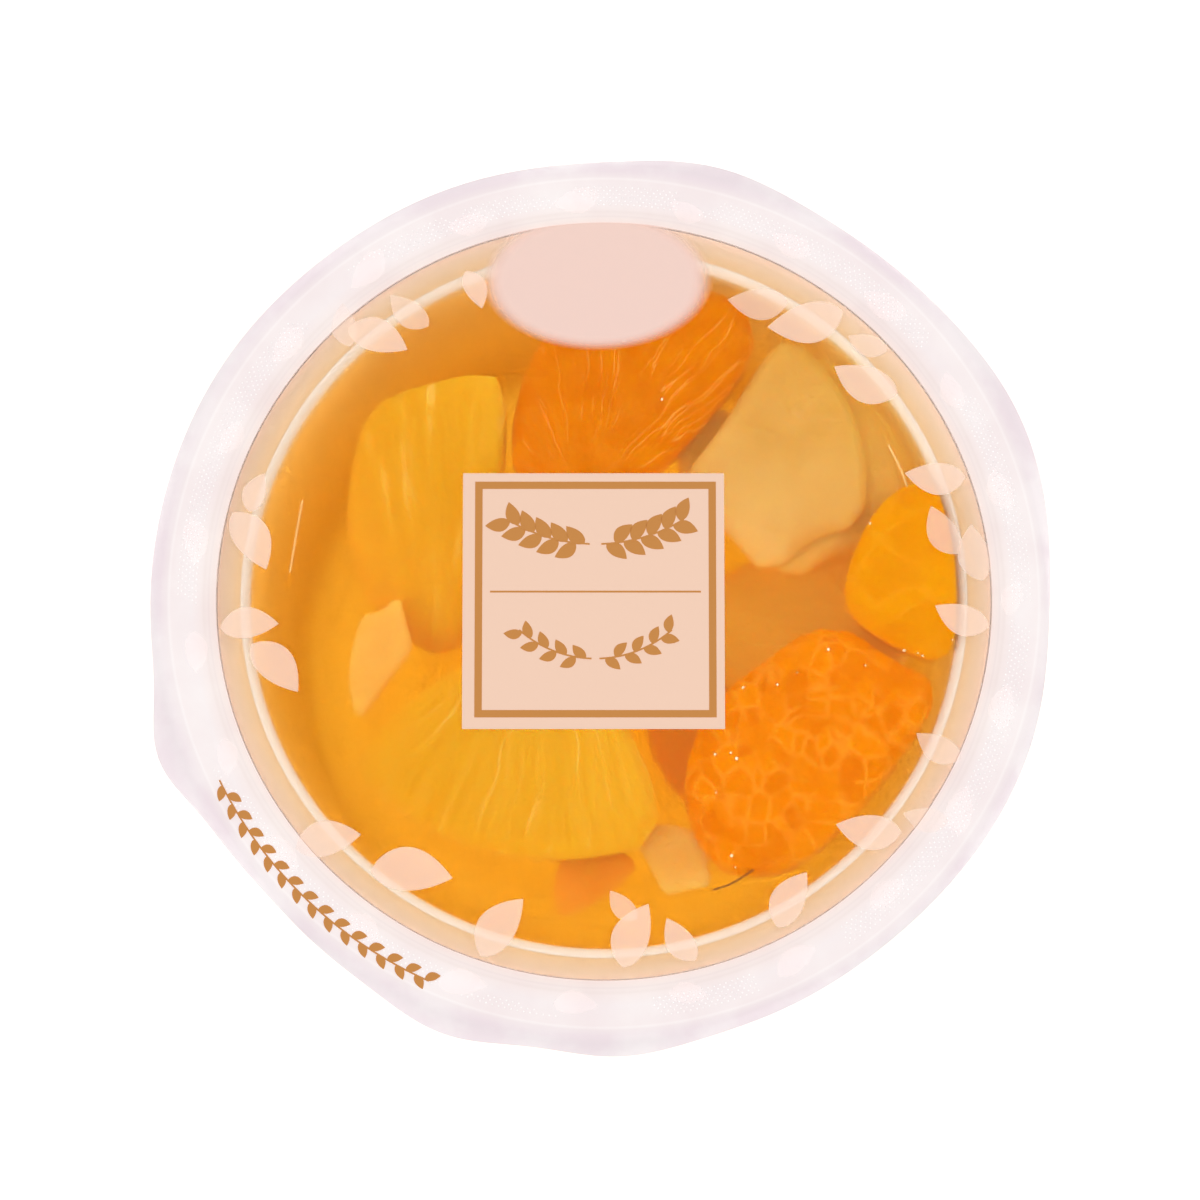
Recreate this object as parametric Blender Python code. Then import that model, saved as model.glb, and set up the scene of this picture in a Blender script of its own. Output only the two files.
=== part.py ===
"""A sealed clear cup of fruit jelly: moulded cup, lid film, jelly and the fruit that touches the film.

Metres, +Z up. The origin is on the cup's axis at the level of its foot; +Y is the top of the lid's print.
"""

import bmesh
import bpy
import math
from mathutils import Vector

MM = 0.001
TOUCHING_GAP = 0.3 * MM

# The cup: heights from the foot up, radii of the inside. The ledge lies just below the mouth.
RIM_HEIGHT = 56.0 * MM
MOUTH_RADIUS = 45.6 * MM
LEDGE_DEPTH = 1.4 * MM
LEDGE_INNER_RADIUS = 42.9 * MM
LEDGE_BEND = 1.3 * MM
WALL_TOP_RADIUS = 41.6 * MM
WALL_FOOT_RADIUS = 36.2 * MM
FLOOR_HEIGHT = 1.2 * MM
FLOOR_CORNER = 5.0 * MM
PUSH_UP = 2.2 * MM
PUSH_UP_RADIUS = 23.0 * MM
PUSH_UP_SLOPE = 2.5 * MM
WALL = 0.9 * MM
FLANGE_RADIUS = 51.6 * MM
FLANGE_LIP = 2.4 * MM
EDGE_ROUND = 0.4 * MM
# How far outside the bend's middle the underside of the ledge turns down.
LEDGE_UNDER = 0.8 * MM
# Where the ledge runs up into the mouth: how far in from the mouth, and how far up.
LEDGE_RISE = ((0.8 * MM, 0.2 * MM), (0.2 * MM, 0.7 * MM))
# The foot ring: its outer edge is tucked in and its inner side slopes.
FOOT_TUCK = 0.6 * MM
FOOT_SLOPE = 1.0 * MM
# Headings in degrees at which the rounded corners of the section start or end.
WALL_DRAFT = 5
FOOT_TURN = -60
ROUND_SEGMENTS = 64
BEND_STEPS = 4
SHARP_ANGLE = 35

# The lid film: its edge is a circle with a few peel corners and flat stretches.
FILM = 0.3 * MM
FILM_RADIUS = 53.3 * MM
FILM_SEGMENTS = 96
FILM_DROOP = 0.5
FILM_WAVE = 0.35 * MM
FILM_WAVES = 9
FILM_SHIFT = Vector((-0.1 * MM, 0.0))
# heading in degrees, height in metres, half-width in degrees
FILM_CORNERS = (
    (24, 0.8 * MM, 13),
    (76, 1.3 * MM, 11),
    (200, 2.2 * MM, 7),
    (222, -0.5 * MM, 9),
    (250, 1.5 * MM, 9),
    (272, 1.1 * MM, 9),
    (312, -0.5 * MM, 20),
    (357, -0.8 * MM, 12),
)
# How far along its overhang each ring of the film lies.
FILM_SHARES = (0, 0.4, 0.75, 1.0)

# The fruit: rings from a piece's top to its bottom, as (share of the outline, share of the thickness).
FRUIT_RINGS = ((0.62, 0.01), (0.90, 0.05), (1.0, 0.16), (1.0, 0.45), (0.93, 0.78), (0.72, 0.95))
FRUIT_TOP = RIM_HEIGHT - 0.05 * MM
FRUIT_TO_WALL = 1.2 * MM
POCKET_GAP = 0.35 * MM
CORNER_CUT = 0.25
CORNER_ROUNDS = 2
OUTLINE_POINTS = 24

# The pineapple chunk below the label is a sector of a slice.
SLICE_CENTRE = (-5.1, 1.4)
SLICE_RADIUS = 32.6
CORE_RADIUS = 11.0
SLICE_FROM = 217
SLICE_TO = 295
SLICE_STEPS = 4

# Each piece's corners in millimetres across the cup, its thickness and how its top leans.
FRUIT = {
    "mandarin_top": {
        "corners": ((-10.6, 13.0), (-11.0, 22.5), (-7.5, 33.0), (3.0, 38.4), (16.0, 38.0), (18.6, 31.0),
                    (12.2, 21.5), (3.0, 12.0)),
        "thickness": 11.0 * MM,
        "lean": (-0.03, -0.03),
        "material": "mandarin",
    },
    "mandarin_right": {
        "corners": ((35.2, 14.2), (41.9, 14.4), (42.6, 4.5), (42.2, -7.8), (34.8, -6.4), (28.2, -1.4),
                    (28.6, 3.0), (31.0, 9.4)),
        "thickness": 9.0 * MM,
        "lean": (0.0, 0.0),
        "material": "mandarin",
    },
    "mandarin_bottom": {
        "corners": ((9.2, -22.0), (11.4, -13.6), (19.0, -7.0), (27.0, -2.0), (34.6, -8.0), (39.8, -9.6),
                    (37.6, -15.0), (29.5, -25.8), (22.0, -32.6), (14.0, -33.2), (10.4, -28.0)),
        "thickness": 11.0 * MM,
        "lean": (0.02, -0.01),
        "material": "mandarin",
    },
    "pear_right": {
        "corners": ((8.4, 13.6), (14.0, 20.8), (19.8, 31.2), (22.4, 32.4), (26.2, 29.0), (30.4, 22.0),
                    (31.2, 14.0), (30.4, 8.8), (24.4, 8.2), (19.2, 2.2), (14.6, 8.8)),
        "thickness": 10.0 * MM,
        "lean": (-0.05, -0.10),
        "material": "pear",
    },
    "pineapple_left": {
        "corners": ((-30.4, 15.0), (-28.2, 24.6), (-20.5, 26.6), (-12.0, 28.0), (-11.6, 22.0), (-12.0, 14.0),
                    (-14.0, 0.0), (-18.6, -6.6), (-26.6, -0.6), (-30.6, 7.0)),
        "thickness": 12.0 * MM,
        "lean": (0.26, 0.20),
        "material": "pineapple",
    },
    "pineapple_bottom": {
        "corners": "slice",
        "thickness": 12.0 * MM,
        "lean": (0.12, 0.04),
        "material": "pineapple",
    },
}

COLOURS = {
    "clear_plastic": ((0.93, 0.90, 0.88), 0.25),
    "film": ((0.95, 0.88, 0.86), 0.4),
    "jelly": ((0.86, 0.45, 0.10), 0.2),
    "mandarin": ((0.90, 0.32, 0.01), 0.4),
    "pear": ((0.85, 0.52, 0.16), 0.5),
    "pineapple": ((0.92, 0.50, 0.05), 0.5),
}


def clear_scene():
    for obj in list(bpy.data.objects):
        bpy.data.objects.remove(obj, do_unlink=True)


def material(name):
    """A plain Principled finish in the piece's own colour."""
    found = bpy.data.materials.get(name)
    if found:
        return found
    colour, roughness = COLOURS[name]
    made = bpy.data.materials.new(name)
    made.use_nodes = True
    shader = made.node_tree.nodes["Principled BSDF"]
    shader.inputs["Base Color"].default_value = (*colour, 1.0)
    shader.inputs["Roughness"].default_value = roughness
    shader.inputs["Metallic"].default_value = 0.0
    return made


def add_object(name, bm, material_name):
    """One named object from a bmesh, its faces turned outwards and shaded smooth between sharp edges."""
    bmesh.ops.recalc_face_normals(bm, faces=bm.faces)
    mesh = bpy.data.meshes.new(name)
    bm.to_mesh(mesh)
    bm.free()
    mesh.shade_smooth()
    mesh.set_sharp_from_angle(angle=math.radians(SHARP_ANGLE))
    mesh.materials.append(material(material_name))
    obj = bpy.data.objects.new(name, mesh)
    bpy.context.scene.collection.objects.link(obj)
    return obj


def bridge(bm, lower, upper):
    """Quads between two rings, or a fan where one of them is a single vertex."""
    count = max(len(lower), len(upper))
    for i in range(count):
        j = (i + 1) % count
        if len(lower) == 1:
            bm.faces.new((lower[0], upper[j], upper[i]))
        elif len(upper) == 1:
            bm.faces.new((lower[i], lower[j], upper[0]))
        else:
            bm.faces.new((lower[i], lower[j], upper[j], upper[i]))


def turned(name, profile, material_name):
    """A profile of (radius, height) points turned about the axis; its two ends lie on the axis or meet."""
    bm = bmesh.new()
    rings = []
    for radius, height in profile:
        if radius == 0:
            rings.append([bm.verts.new((0, 0, height))])
            continue
        ring = []
        for i in range(ROUND_SEGMENTS):
            angle = 2 * math.pi * i / ROUND_SEGMENTS
            ring.append(bm.verts.new((radius * math.cos(angle), radius * math.sin(angle), height)))
        rings.append(ring)
    for lower, upper in zip(rings, rings[1:]):
        bridge(bm, lower, upper)
    return add_object(name, bm, material_name)


def bend(centre, radius, start, end):
    """Points on a rounded corner, from one heading in degrees to another."""
    points = []
    for i in range(BEND_STEPS + 1):
        angle = math.radians(start + (end - start) * i / BEND_STEPS)
        points.append((centre[0] + radius * math.cos(angle), centre[1] + radius * math.sin(angle)))
    return points


def inside_profile():
    """The cup's inner surface, from the middle of its floor out and up to the mouth."""
    ledge = RIM_HEIGHT - LEDGE_DEPTH
    floor_end = WALL_FOOT_RADIUS - FLOOR_CORNER
    points = [(0, FLOOR_HEIGHT + PUSH_UP), (PUSH_UP_RADIUS, FLOOR_HEIGHT + PUSH_UP)]
    points.append((PUSH_UP_RADIUS + PUSH_UP_SLOPE, FLOOR_HEIGHT))
    points += bend((floor_end, FLOOR_HEIGHT + FLOOR_CORNER), FLOOR_CORNER, -90, -WALL_DRAFT)
    points += bend((WALL_TOP_RADIUS + LEDGE_BEND, ledge - LEDGE_BEND), LEDGE_BEND, 180 - WALL_DRAFT, 90)
    for inward, rise in LEDGE_RISE:
        points.append((MOUTH_RADIUS - inward, ledge + rise))
    points.append((MOUTH_RADIUS, RIM_HEIGHT))
    return points


def outside_profile():
    """The cup's outer surface, from the flange's lip down to the middle of the foot."""
    ledge = RIM_HEIGHT - LEDGE_DEPTH
    floor_end = WALL_FOOT_RADIUS - FLOOR_CORNER
    outer_corner = FLOOR_CORNER + WALL
    flange_bottom = RIM_HEIGHT - WALL
    points = [(FLANGE_RADIUS - EDGE_ROUND, RIM_HEIGHT), (FLANGE_RADIUS, RIM_HEIGHT - EDGE_ROUND)]
    points.append((FLANGE_RADIUS, RIM_HEIGHT - FLANGE_LIP))
    points.append((FLANGE_RADIUS - WALL, RIM_HEIGHT - FLANGE_LIP))
    points.append((FLANGE_RADIUS - WALL, flange_bottom))
    points.append((MOUTH_RADIUS + WALL, flange_bottom))
    points.append((MOUTH_RADIUS + WALL, ledge + LEDGE_RISE[0][1]))
    points.append((MOUTH_RADIUS, ledge - WALL))
    points.append((LEDGE_INNER_RADIUS + LEDGE_UNDER, ledge - WALL))
    points.append((WALL_TOP_RADIUS + WALL, ledge - LEDGE_BEND - EDGE_ROUND))
    points += bend((floor_end, FLOOR_HEIGHT + FLOOR_CORNER), outer_corner, -WALL_DRAFT, FOOT_TURN)
    foot_outer = floor_end + outer_corner * math.cos(math.radians(FOOT_TURN)) - FOOT_TUCK
    foot_inner = PUSH_UP_RADIUS + PUSH_UP_SLOPE - FOOT_SLOPE
    points.append((foot_outer, 0))
    points.append((foot_inner, 0))
    points.append((PUSH_UP_RADIUS - FOOT_SLOPE, PUSH_UP))
    points.append((0, PUSH_UP))
    return points


def inside_radius(height):
    """How far the inner wall is from the axis at a height."""
    points = [p for p in inside_profile() if p[0] > PUSH_UP_RADIUS + PUSH_UP_SLOPE]
    if height >= points[-1][1]:
        return points[-1][0]
    for (r0, z0), (r1, z1) in zip(points, points[1:]):
        if z0 <= height <= z1 and z1 > z0:
            return r0 + (r1 - r0) * (height - z0) / (z1 - z0)
    return points[0][0]


def make_cup():
    return turned("cup", inside_profile() + outside_profile(), "clear_plastic")


def film_edge(heading):
    """Distance of the film's edge from its middle: a circle with corners and flats."""
    radius = FILM_RADIUS
    for corner, height, width in FILM_CORNERS:
        away = (heading - corner + 180) % 360 - 180
        radius += height * math.exp(-((away / width) ** 2))
    return radius


def film_ring(bm, share, level):
    """A ring on the film: share 0 is the flange's edge, share 1 the film's own, which droops and waves."""
    ring = []
    over_flange = FLANGE_RADIUS + TOUCHING_GAP
    for i in range(FILM_SEGMENTS):
        heading = 360 * i / FILM_SEGMENTS
        angle = math.radians(heading)
        start = Vector((math.cos(angle), math.sin(angle))) * over_flange
        edge = Vector((math.cos(angle), math.sin(angle))) * film_edge(heading) + FILM_SHIFT
        place = start.lerp(edge, share)
        overhang = (edge - start).length
        wave = FILM_WAVE * math.sin(FILM_WAVES * angle)
        drop = share * share * (FILM_DROOP * overhang + wave)
        ring.append(bm.verts.new((place.x, place.y, level - drop)))
    return ring


def make_lid_film():
    """The film: flat over the mouth and flange, then drooping past the flange's edge."""
    bm = bmesh.new()
    bottom = RIM_HEIGHT + TOUCHING_GAP
    top = bottom + FILM
    lower = [film_ring(bm, share, bottom) for share in FILM_SHARES]
    upper = [film_ring(bm, share, top) for share in FILM_SHARES]
    loops = [[bm.verts.new((0, 0, bottom))]] + lower + upper[::-1] + [[bm.verts.new((0, 0, top))]]
    for first, second in zip(loops, loops[1:]):
        bridge(bm, first, second)
    return add_object("lid_film", bm, "film")


def slice_corners():
    """The corners of a sector cut from a pineapple slice, out along its edge and back along the core."""
    corners = []
    for radius, start, end in ((SLICE_RADIUS, SLICE_FROM, SLICE_TO), (CORE_RADIUS, SLICE_TO, SLICE_FROM)):
        for i in range(SLICE_STEPS + 1):
            angle = math.radians(start + (end - start) * i / SLICE_STEPS)
            x = SLICE_CENTRE[0] + radius * math.cos(angle)
            y = SLICE_CENTRE[1] + radius * math.sin(angle)
            corners.append((x, y))
    return corners


def rounded_outline(corners):
    """A closed outline in metres: its corners are cut in rounds, then points are spread evenly on it."""
    points = [Vector(corner) * MM for corner in corners]
    for _ in range(CORNER_ROUNDS):
        cut = []
        for a, b in zip(points, points[1:] + points[:1]):
            cut += [a.lerp(b, CORNER_CUT), b.lerp(a, CORNER_CUT)]
        points = cut
    sides = [(b - a).length for a, b in zip(points, points[1:] + points[:1])]
    step = sum(sides) / OUTLINE_POINTS
    spread = []
    walked = 0.0
    for a, b, side in zip(points, points[1:] + points[:1], sides):
        while len(spread) * step < walked + side and len(spread) < OUTLINE_POINTS:
            spread.append(a.lerp(b, (len(spread) * step - walked) / side))
        walked += side
    return spread


def fruit_mesh(spec):
    """A rounded piece of fruit: its outline in rings from top to bottom, leaning, clear of the wall."""
    corners = slice_corners() if spec["corners"] == "slice" else spec["corners"]
    outline = rounded_outline(corners)
    centre = sum(outline, Vector((0, 0))) / len(outline)
    bm = bmesh.new()
    rings = [[bm.verts.new((centre.x, centre.y, 0))]]
    for share, depth in FRUIT_RINGS:
        ring = []
        for point in outline:
            place = centre + (point - centre) * share
            ring.append(bm.verts.new((place.x, place.y, -depth * spec["thickness"])))
        rings.append(ring)
    rings.append([bm.verts.new((centre.x, centre.y, -spec["thickness"]))])
    for upper, lower in zip(rings, rings[1:]):
        bridge(bm, upper, lower)
    for vert in bm.verts:
        vert.co.z += spec["lean"][0] * (vert.co.x - centre.x) + spec["lean"][1] * (vert.co.y - centre.y)
    highest = max(vert.co.z for vert in bm.verts)
    for vert in bm.verts:
        vert.co.z += FRUIT_TOP - highest
        reach = math.hypot(vert.co.x, vert.co.y)
        room = min(inside_radius(vert.co.z), LEDGE_INNER_RADIUS) - FRUIT_TO_WALL
        if reach > room:
            vert.co.x *= room / reach
            vert.co.y *= room / reach
    bmesh.ops.recalc_face_normals(bm, faces=bm.faces)
    bm.normal_update()
    return bm


def make_fruit(name, spec):
    return add_object(name, fruit_mesh(spec), spec["material"])


def make_pocket(name, spec):
    """The hollow that a piece of fruit leaves in the jelly: the piece grown by a small gap."""
    bm = fruit_mesh(spec)
    for vert in bm.verts:
        vert.co += vert.normal * POCKET_GAP
    pocket = add_object(name, bm, "jelly")
    pocket.hide_render = True
    pocket.display_type = "WIRE"
    return pocket


def make_jelly():
    """The jelly fills the cup up to the film, with a pocket round each piece of fruit."""
    profile = []
    for radius, height in inside_profile():
        profile.append((max(radius - TOUCHING_GAP, 0), min(height + TOUCHING_GAP, RIM_HEIGHT)))
    profile.append((0, RIM_HEIGHT))
    jelly = turned("jelly", profile, "jelly")
    for name, spec in FRUIT.items():
        cut = jelly.modifiers.new(f"pocket {name}", "BOOLEAN")
        cut.operation = "DIFFERENCE"
        cut.solver = "EXACT"
        cut.object = make_pocket(f"pocket_{name}", spec)
    return jelly


def main():
    clear_scene()
    make_cup()
    make_lid_film()
    for name, spec in FRUIT.items():
        make_fruit(name, spec)
    make_jelly()


main()
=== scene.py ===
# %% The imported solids
import bmesh
import bpy
import math
from mathutils import Matrix, Vector


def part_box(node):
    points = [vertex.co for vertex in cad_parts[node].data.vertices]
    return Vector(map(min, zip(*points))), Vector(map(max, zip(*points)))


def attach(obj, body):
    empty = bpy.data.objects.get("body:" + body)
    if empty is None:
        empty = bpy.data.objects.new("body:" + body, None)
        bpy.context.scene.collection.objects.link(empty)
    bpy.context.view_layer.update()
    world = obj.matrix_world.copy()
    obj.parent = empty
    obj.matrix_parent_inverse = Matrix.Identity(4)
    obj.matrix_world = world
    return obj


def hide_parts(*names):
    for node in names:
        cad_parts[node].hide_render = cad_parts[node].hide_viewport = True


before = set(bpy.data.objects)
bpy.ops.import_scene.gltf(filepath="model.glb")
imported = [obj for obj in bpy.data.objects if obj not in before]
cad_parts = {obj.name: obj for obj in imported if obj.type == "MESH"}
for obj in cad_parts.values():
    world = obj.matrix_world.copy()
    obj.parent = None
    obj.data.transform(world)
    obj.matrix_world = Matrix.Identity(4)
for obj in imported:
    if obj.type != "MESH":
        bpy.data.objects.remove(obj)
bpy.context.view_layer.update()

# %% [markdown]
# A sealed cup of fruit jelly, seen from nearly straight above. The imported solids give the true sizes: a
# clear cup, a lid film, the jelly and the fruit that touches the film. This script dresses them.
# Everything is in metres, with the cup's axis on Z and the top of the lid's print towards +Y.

MM = 0.001
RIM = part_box("cup")[1].z
FLANGE_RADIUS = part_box("cup")[1].x
print("rim height", round(RIM / MM, 2), "mm, flange radius", round(FLANGE_RADIUS / MM, 2), "mm")

# %% [markdown]
# The camera looks down on the lid from 77 degrees, so the round lid shows only slightly flattened. A long
# lens a good way off keeps the far and near sides of the lid the same size, as in a catalogue picture.
# The frame's width is worked out from the photo's 1200 pixels and the millimetres that one of them
# covers.

# %% Camera
PHOTO_SIDE = 1200
MM_PER_PIXEL = 0.1176
MOUTH_CENTRE_PIXEL = (604.0, 597.5)
CAMERA_ELEVATION = math.radians(77.4)
LENS_MM = 200
SENSOR_MM = 36
CLIP_START = 0.01


def new_object(name, data):
    """An object that shows the data, linked into the scene."""
    made = bpy.data.objects.new(name, data)
    bpy.context.scene.collection.objects.link(made)
    return made


def across(pixel_x, pixel_y):
    """Where on the lid, in millimetres from the cup's axis, a pixel of the photo lies."""
    x = (pixel_x - MOUTH_CENTRE_PIXEL[0]) * MM_PER_PIXEL
    y = (MOUTH_CENTRE_PIXEL[1] - pixel_y) * MM_PER_PIXEL / math.sin(CAMERA_ELEVATION)
    return x, y


def make_camera():
    x, y = across(PHOTO_SIDE / 2, PHOTO_SIDE / 2)
    target = Vector((x * MM, y * MM, RIM))
    distance = LENS_MM / SENSOR_MM * PHOTO_SIDE * MM_PER_PIXEL * MM
    back = Vector((0, -math.cos(CAMERA_ELEVATION), math.sin(CAMERA_ELEVATION)))
    camera = new_object("camera", bpy.data.cameras.new("camera"))
    camera.data.lens = LENS_MM
    camera.data.sensor_width = SENSOR_MM
    camera.data.clip_start = CLIP_START
    camera.location = target + back * distance
    camera.rotation_euler = back.to_track_quat("Z", "Y").to_euler()
    bpy.context.scene.camera = camera
    print("camera", round(distance, 3), "m from the lid")


make_camera()

# %% [markdown]
# Colours are written as the sRGB hex values that a colour picker shows. Shaders want linear light, so one
# function turns one into the other. Another adds a node to any tree, sets its properties and fills its
# inputs, either with a value or with a link from another node.

# %% Colour and node helpers
def srgb(code):
    """A hex colour as linear RGBA."""
    channels = []
    for i in (1, 3, 5):
        value = int(code[i:i + 2], 16) / 255
        channels.append(value / 12.92 if value <= 0.04045 else ((value + 0.055) / 1.055) ** 2.4)
    return (*channels, 1.0)


def fill(tree, node, inputs):
    """Gives each input, by name or number, a value or a link; a node stands for its first output."""
    for name, value in inputs.items():
        if isinstance(value, bpy.types.Node):
            value = value.outputs[0]
        if isinstance(value, bpy.types.NodeSocket):
            tree.links.new(value, node.inputs[name])
        else:
            node.inputs[name].default_value = value


def add(tree, kind, inputs=None, stops=(), **settings):
    """Adds a node with its inputs and settings; stops are a colour ramp's (position, hex) pairs."""
    node = tree.nodes.new(kind)
    for name, value in settings.items():
        setattr(node, name, value)
    fill(tree, node, inputs or {})
    for _ in stops[2:]:
        node.color_ramp.elements.new(0.5)
    for number, (position, code) in enumerate(stops):
        element = node.color_ramp.elements[number]
        element.position = position
        element.color = srgb(code)
    return node


def new_material(name, **sockets):
    """A Principled material with the given socket values; returns it with its tree and shader."""
    made = bpy.data.materials.new(name)
    made.use_nodes = True
    shader = made.node_tree.nodes["Principled BSDF"]
    for socket, value in sockets.items():
        shader.inputs[socket.replace("_", " ")].default_value = value
    return made, made.node_tree, shader

# %% [markdown]
# The floor is a plain white sheet and the light is soft and comes from all round, so that nothing casts a
# hard shadow. The large panels stand low at the sides: the flat lid then doesn't mirror them into the
# camera. Light that has crossed jelly and plastic takes many samples, and the denoiser clears what is
# left, so the renderer may stop early at pixels that are smooth enough.

# %% Floor and light
FLOOR_SIDE = 3.0
FLOOR_GAP = 0.05 * MM
PANEL_SIDE = 0.7
PANEL_DISTANCE = 1.0
PANEL_ELEVATION = math.radians(27)
PANEL_HEADINGS = (20, 110, 200, 290)
PANEL_WATTS = 3.95
WORLD_STRENGTH = 0.5
TABLE_GLOW = 0.25
NOISE_ALLOWED = 0.2
CLEAR_CROSSINGS = 12


def make_floor():
    bm = bmesh.new()
    bmesh.ops.create_grid(bm, x_segments=1, y_segments=1, size=FLOOR_SIDE / 2)
    mesh = bpy.data.meshes.new("floor")
    bm.to_mesh(mesh)
    bm.free()
    floor = new_object("floor", mesh)
    floor.location.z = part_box("cup")[0].z - FLOOR_GAP
    white = new_material("lit white opal table", Roughness=0.9, Specular_IOR_Level=0.2,
                         Base_Color=srgb("#F6F5F4"), Emission_Color=srgb("#FFFFFF"),
                         Emission_Strength=TABLE_GLOW)[0]
    mesh.materials.append(white)


def make_panel(name, heading):
    direction = Vector((math.cos(heading) * math.cos(PANEL_ELEVATION),
                        math.sin(heading) * math.cos(PANEL_ELEVATION), math.sin(PANEL_ELEVATION)))
    data = bpy.data.lights.new(name, "AREA")
    data.energy = PANEL_WATTS
    data.size = PANEL_SIDE
    panel = new_object(name, data)
    panel.location = direction * PANEL_DISTANCE
    panel.rotation_euler = direction.to_track_quat("Z", "Y").to_euler()


def make_world():
    world = bpy.data.worlds.new("soft white room")
    world.use_nodes = True
    background = world.node_tree.nodes["Background"]
    fill(world.node_tree, background, {"Color": srgb("#FFFFFF"), "Strength": WORLD_STRENGTH})
    bpy.context.scene.world = world
    bpy.context.scene.view_settings.view_transform = "Standard"
    bpy.context.scene.cycles.transparent_max_bounces = CLEAR_CROSSINGS
    bpy.context.scene.cycles.adaptive_threshold = NOISE_ALLOWED


make_floor()
make_world()
for panel_number, panel_heading in enumerate(PANEL_HEADINGS):
    make_panel(f"panel_{panel_number}", math.radians(panel_heading))

# %% [markdown]
# A moulded cup is round: every section through its axis is the same, so a profile turned about the axis
# makes it. The helpers here turn a profile, join two rings of points by faces, and make an object of the
# faces. Rounded corners are short arcs worked out by a formula.

# %% A turned shape
ROUND_STEPS = 192
BEND_STEPS = 8
SHARP_ANGLE = math.radians(40)


def mesh_object(name, bm, *materials):
    bmesh.ops.recalc_face_normals(bm, faces=bm.faces)
    mesh = bpy.data.meshes.new(name)
    bm.to_mesh(mesh)
    bm.free()
    mesh.shade_smooth()
    mesh.set_sharp_from_angle(angle=SHARP_ANGLE)
    for item in materials:
        mesh.materials.append(item)
    return new_object(name, mesh)


def bridge(bm, lower, upper):
    """Quads between two rings, or a fan where one of them is a single point."""
    count = max(len(lower), len(upper))
    made = []
    for i in range(count):
        j = (i + 1) % count
        if len(lower) == 1:
            corners = (lower[0], upper[j], upper[i])
        elif len(upper) == 1:
            corners = (lower[i], lower[j], upper[0])
        else:
            corners = (lower[i], lower[j], upper[j], upper[i])
        made.append(bm.faces.new(corners))
    return made


def turned(name, profile, finish, closed=False):
    """A profile of (radius, height) turned about Z; it ends on the axis, or closes on itself."""
    bm = bmesh.new()
    rings = []
    for radius, height in profile:
        if radius == 0:
            rings.append([bm.verts.new((0, 0, height))])
            continue
        ring = []
        for i in range(ROUND_STEPS):
            angle = 2 * math.pi * i / ROUND_STEPS
            ring.append(bm.verts.new((radius * math.cos(angle), radius * math.sin(angle), height)))
        rings.append(ring)
    pairs = list(zip(rings, rings[1:]))
    if closed:
        pairs.append((rings[-1], rings[0]))
    for lower, upper in pairs:
        bridge(bm, lower, upper)
    return mesh_object(name, bm, finish)


def bend(centre, radius, start, end):
    points = []
    for i in range(BEND_STEPS + 1):
        angle = math.radians(start + (end - start) * i / BEND_STEPS)
        points.append((centre[0] + radius * math.cos(angle), centre[1] + radius * math.sin(angle)))
    return points

# %% [markdown]
# The cup is injection-moulded from clear plastic in one piece: a foot ring round a raised floor, a
# tapering wall, a stacking ledge just under the mouth, and a flange with a turned-down lip that the film
# is sealed to. Its inner and outer surfaces are two lists of (radius, height), and the jelly uses the
# inner one again.

# %% The cup's sizes and its two surfaces
MOUTH_RADIUS = 45.6 * MM
LEDGE = RIM - 1.4 * MM
LEDGE_BEND = 1.3 * MM
LEDGE_CORNER = (0.8 * MM, 0.2 * MM)
MOUTH_CORNER = (0.2 * MM, 0.7 * MM)
WALL_TOP_RADIUS = 41.6 * MM
WALL_FOOT_RADIUS = 36.2 * MM
FLOOR_HEIGHT = 1.2 * MM
FLOOR_CORNER = 5.0 * MM
PUSH_UP = 2.2 * MM
PUSH_UP_RADIUS = 23.0 * MM
PUSH_UP_SLOPE = 2.5 * MM
WALL = 0.9 * MM
BEND_OUTSET = 0.9 * WALL
BEND_DROP = 0.4 * MM
DRAFT_DEGREES = 5
FOOT_DEGREES = 60
FOOT_STEP = 0.6 * MM
FOOT_INSET = 1.0 * MM
LIP = 2.4 * MM
LIP_ROUND = 0.4 * MM


def inside_profile(push=0.0):
    """The inner surface from the middle of the floor up to the mouth, pushed into the wall by a distance."""
    floor_end = WALL_FOOT_RADIUS - FLOOR_CORNER
    points = [(0, FLOOR_HEIGHT + PUSH_UP - push), (PUSH_UP_RADIUS, FLOOR_HEIGHT + PUSH_UP - push)]
    points.append((PUSH_UP_RADIUS + PUSH_UP_SLOPE, FLOOR_HEIGHT - push))
    points += bend((floor_end, FLOOR_HEIGHT + FLOOR_CORNER), FLOOR_CORNER + push, -90, -DRAFT_DEGREES)
    ledge_centre = (WALL_TOP_RADIUS + LEDGE_BEND, LEDGE - LEDGE_BEND)
    points += bend(ledge_centre, LEDGE_BEND - push, 180 - DRAFT_DEGREES, 90)
    points.append((MOUTH_RADIUS - LEDGE_CORNER[0], LEDGE + LEDGE_CORNER[1] - push))
    points.append((MOUTH_RADIUS - MOUTH_CORNER[0] + push, LEDGE + MOUTH_CORNER[1] - push))
    points.append((MOUTH_RADIUS + push, RIM))
    return points


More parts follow.
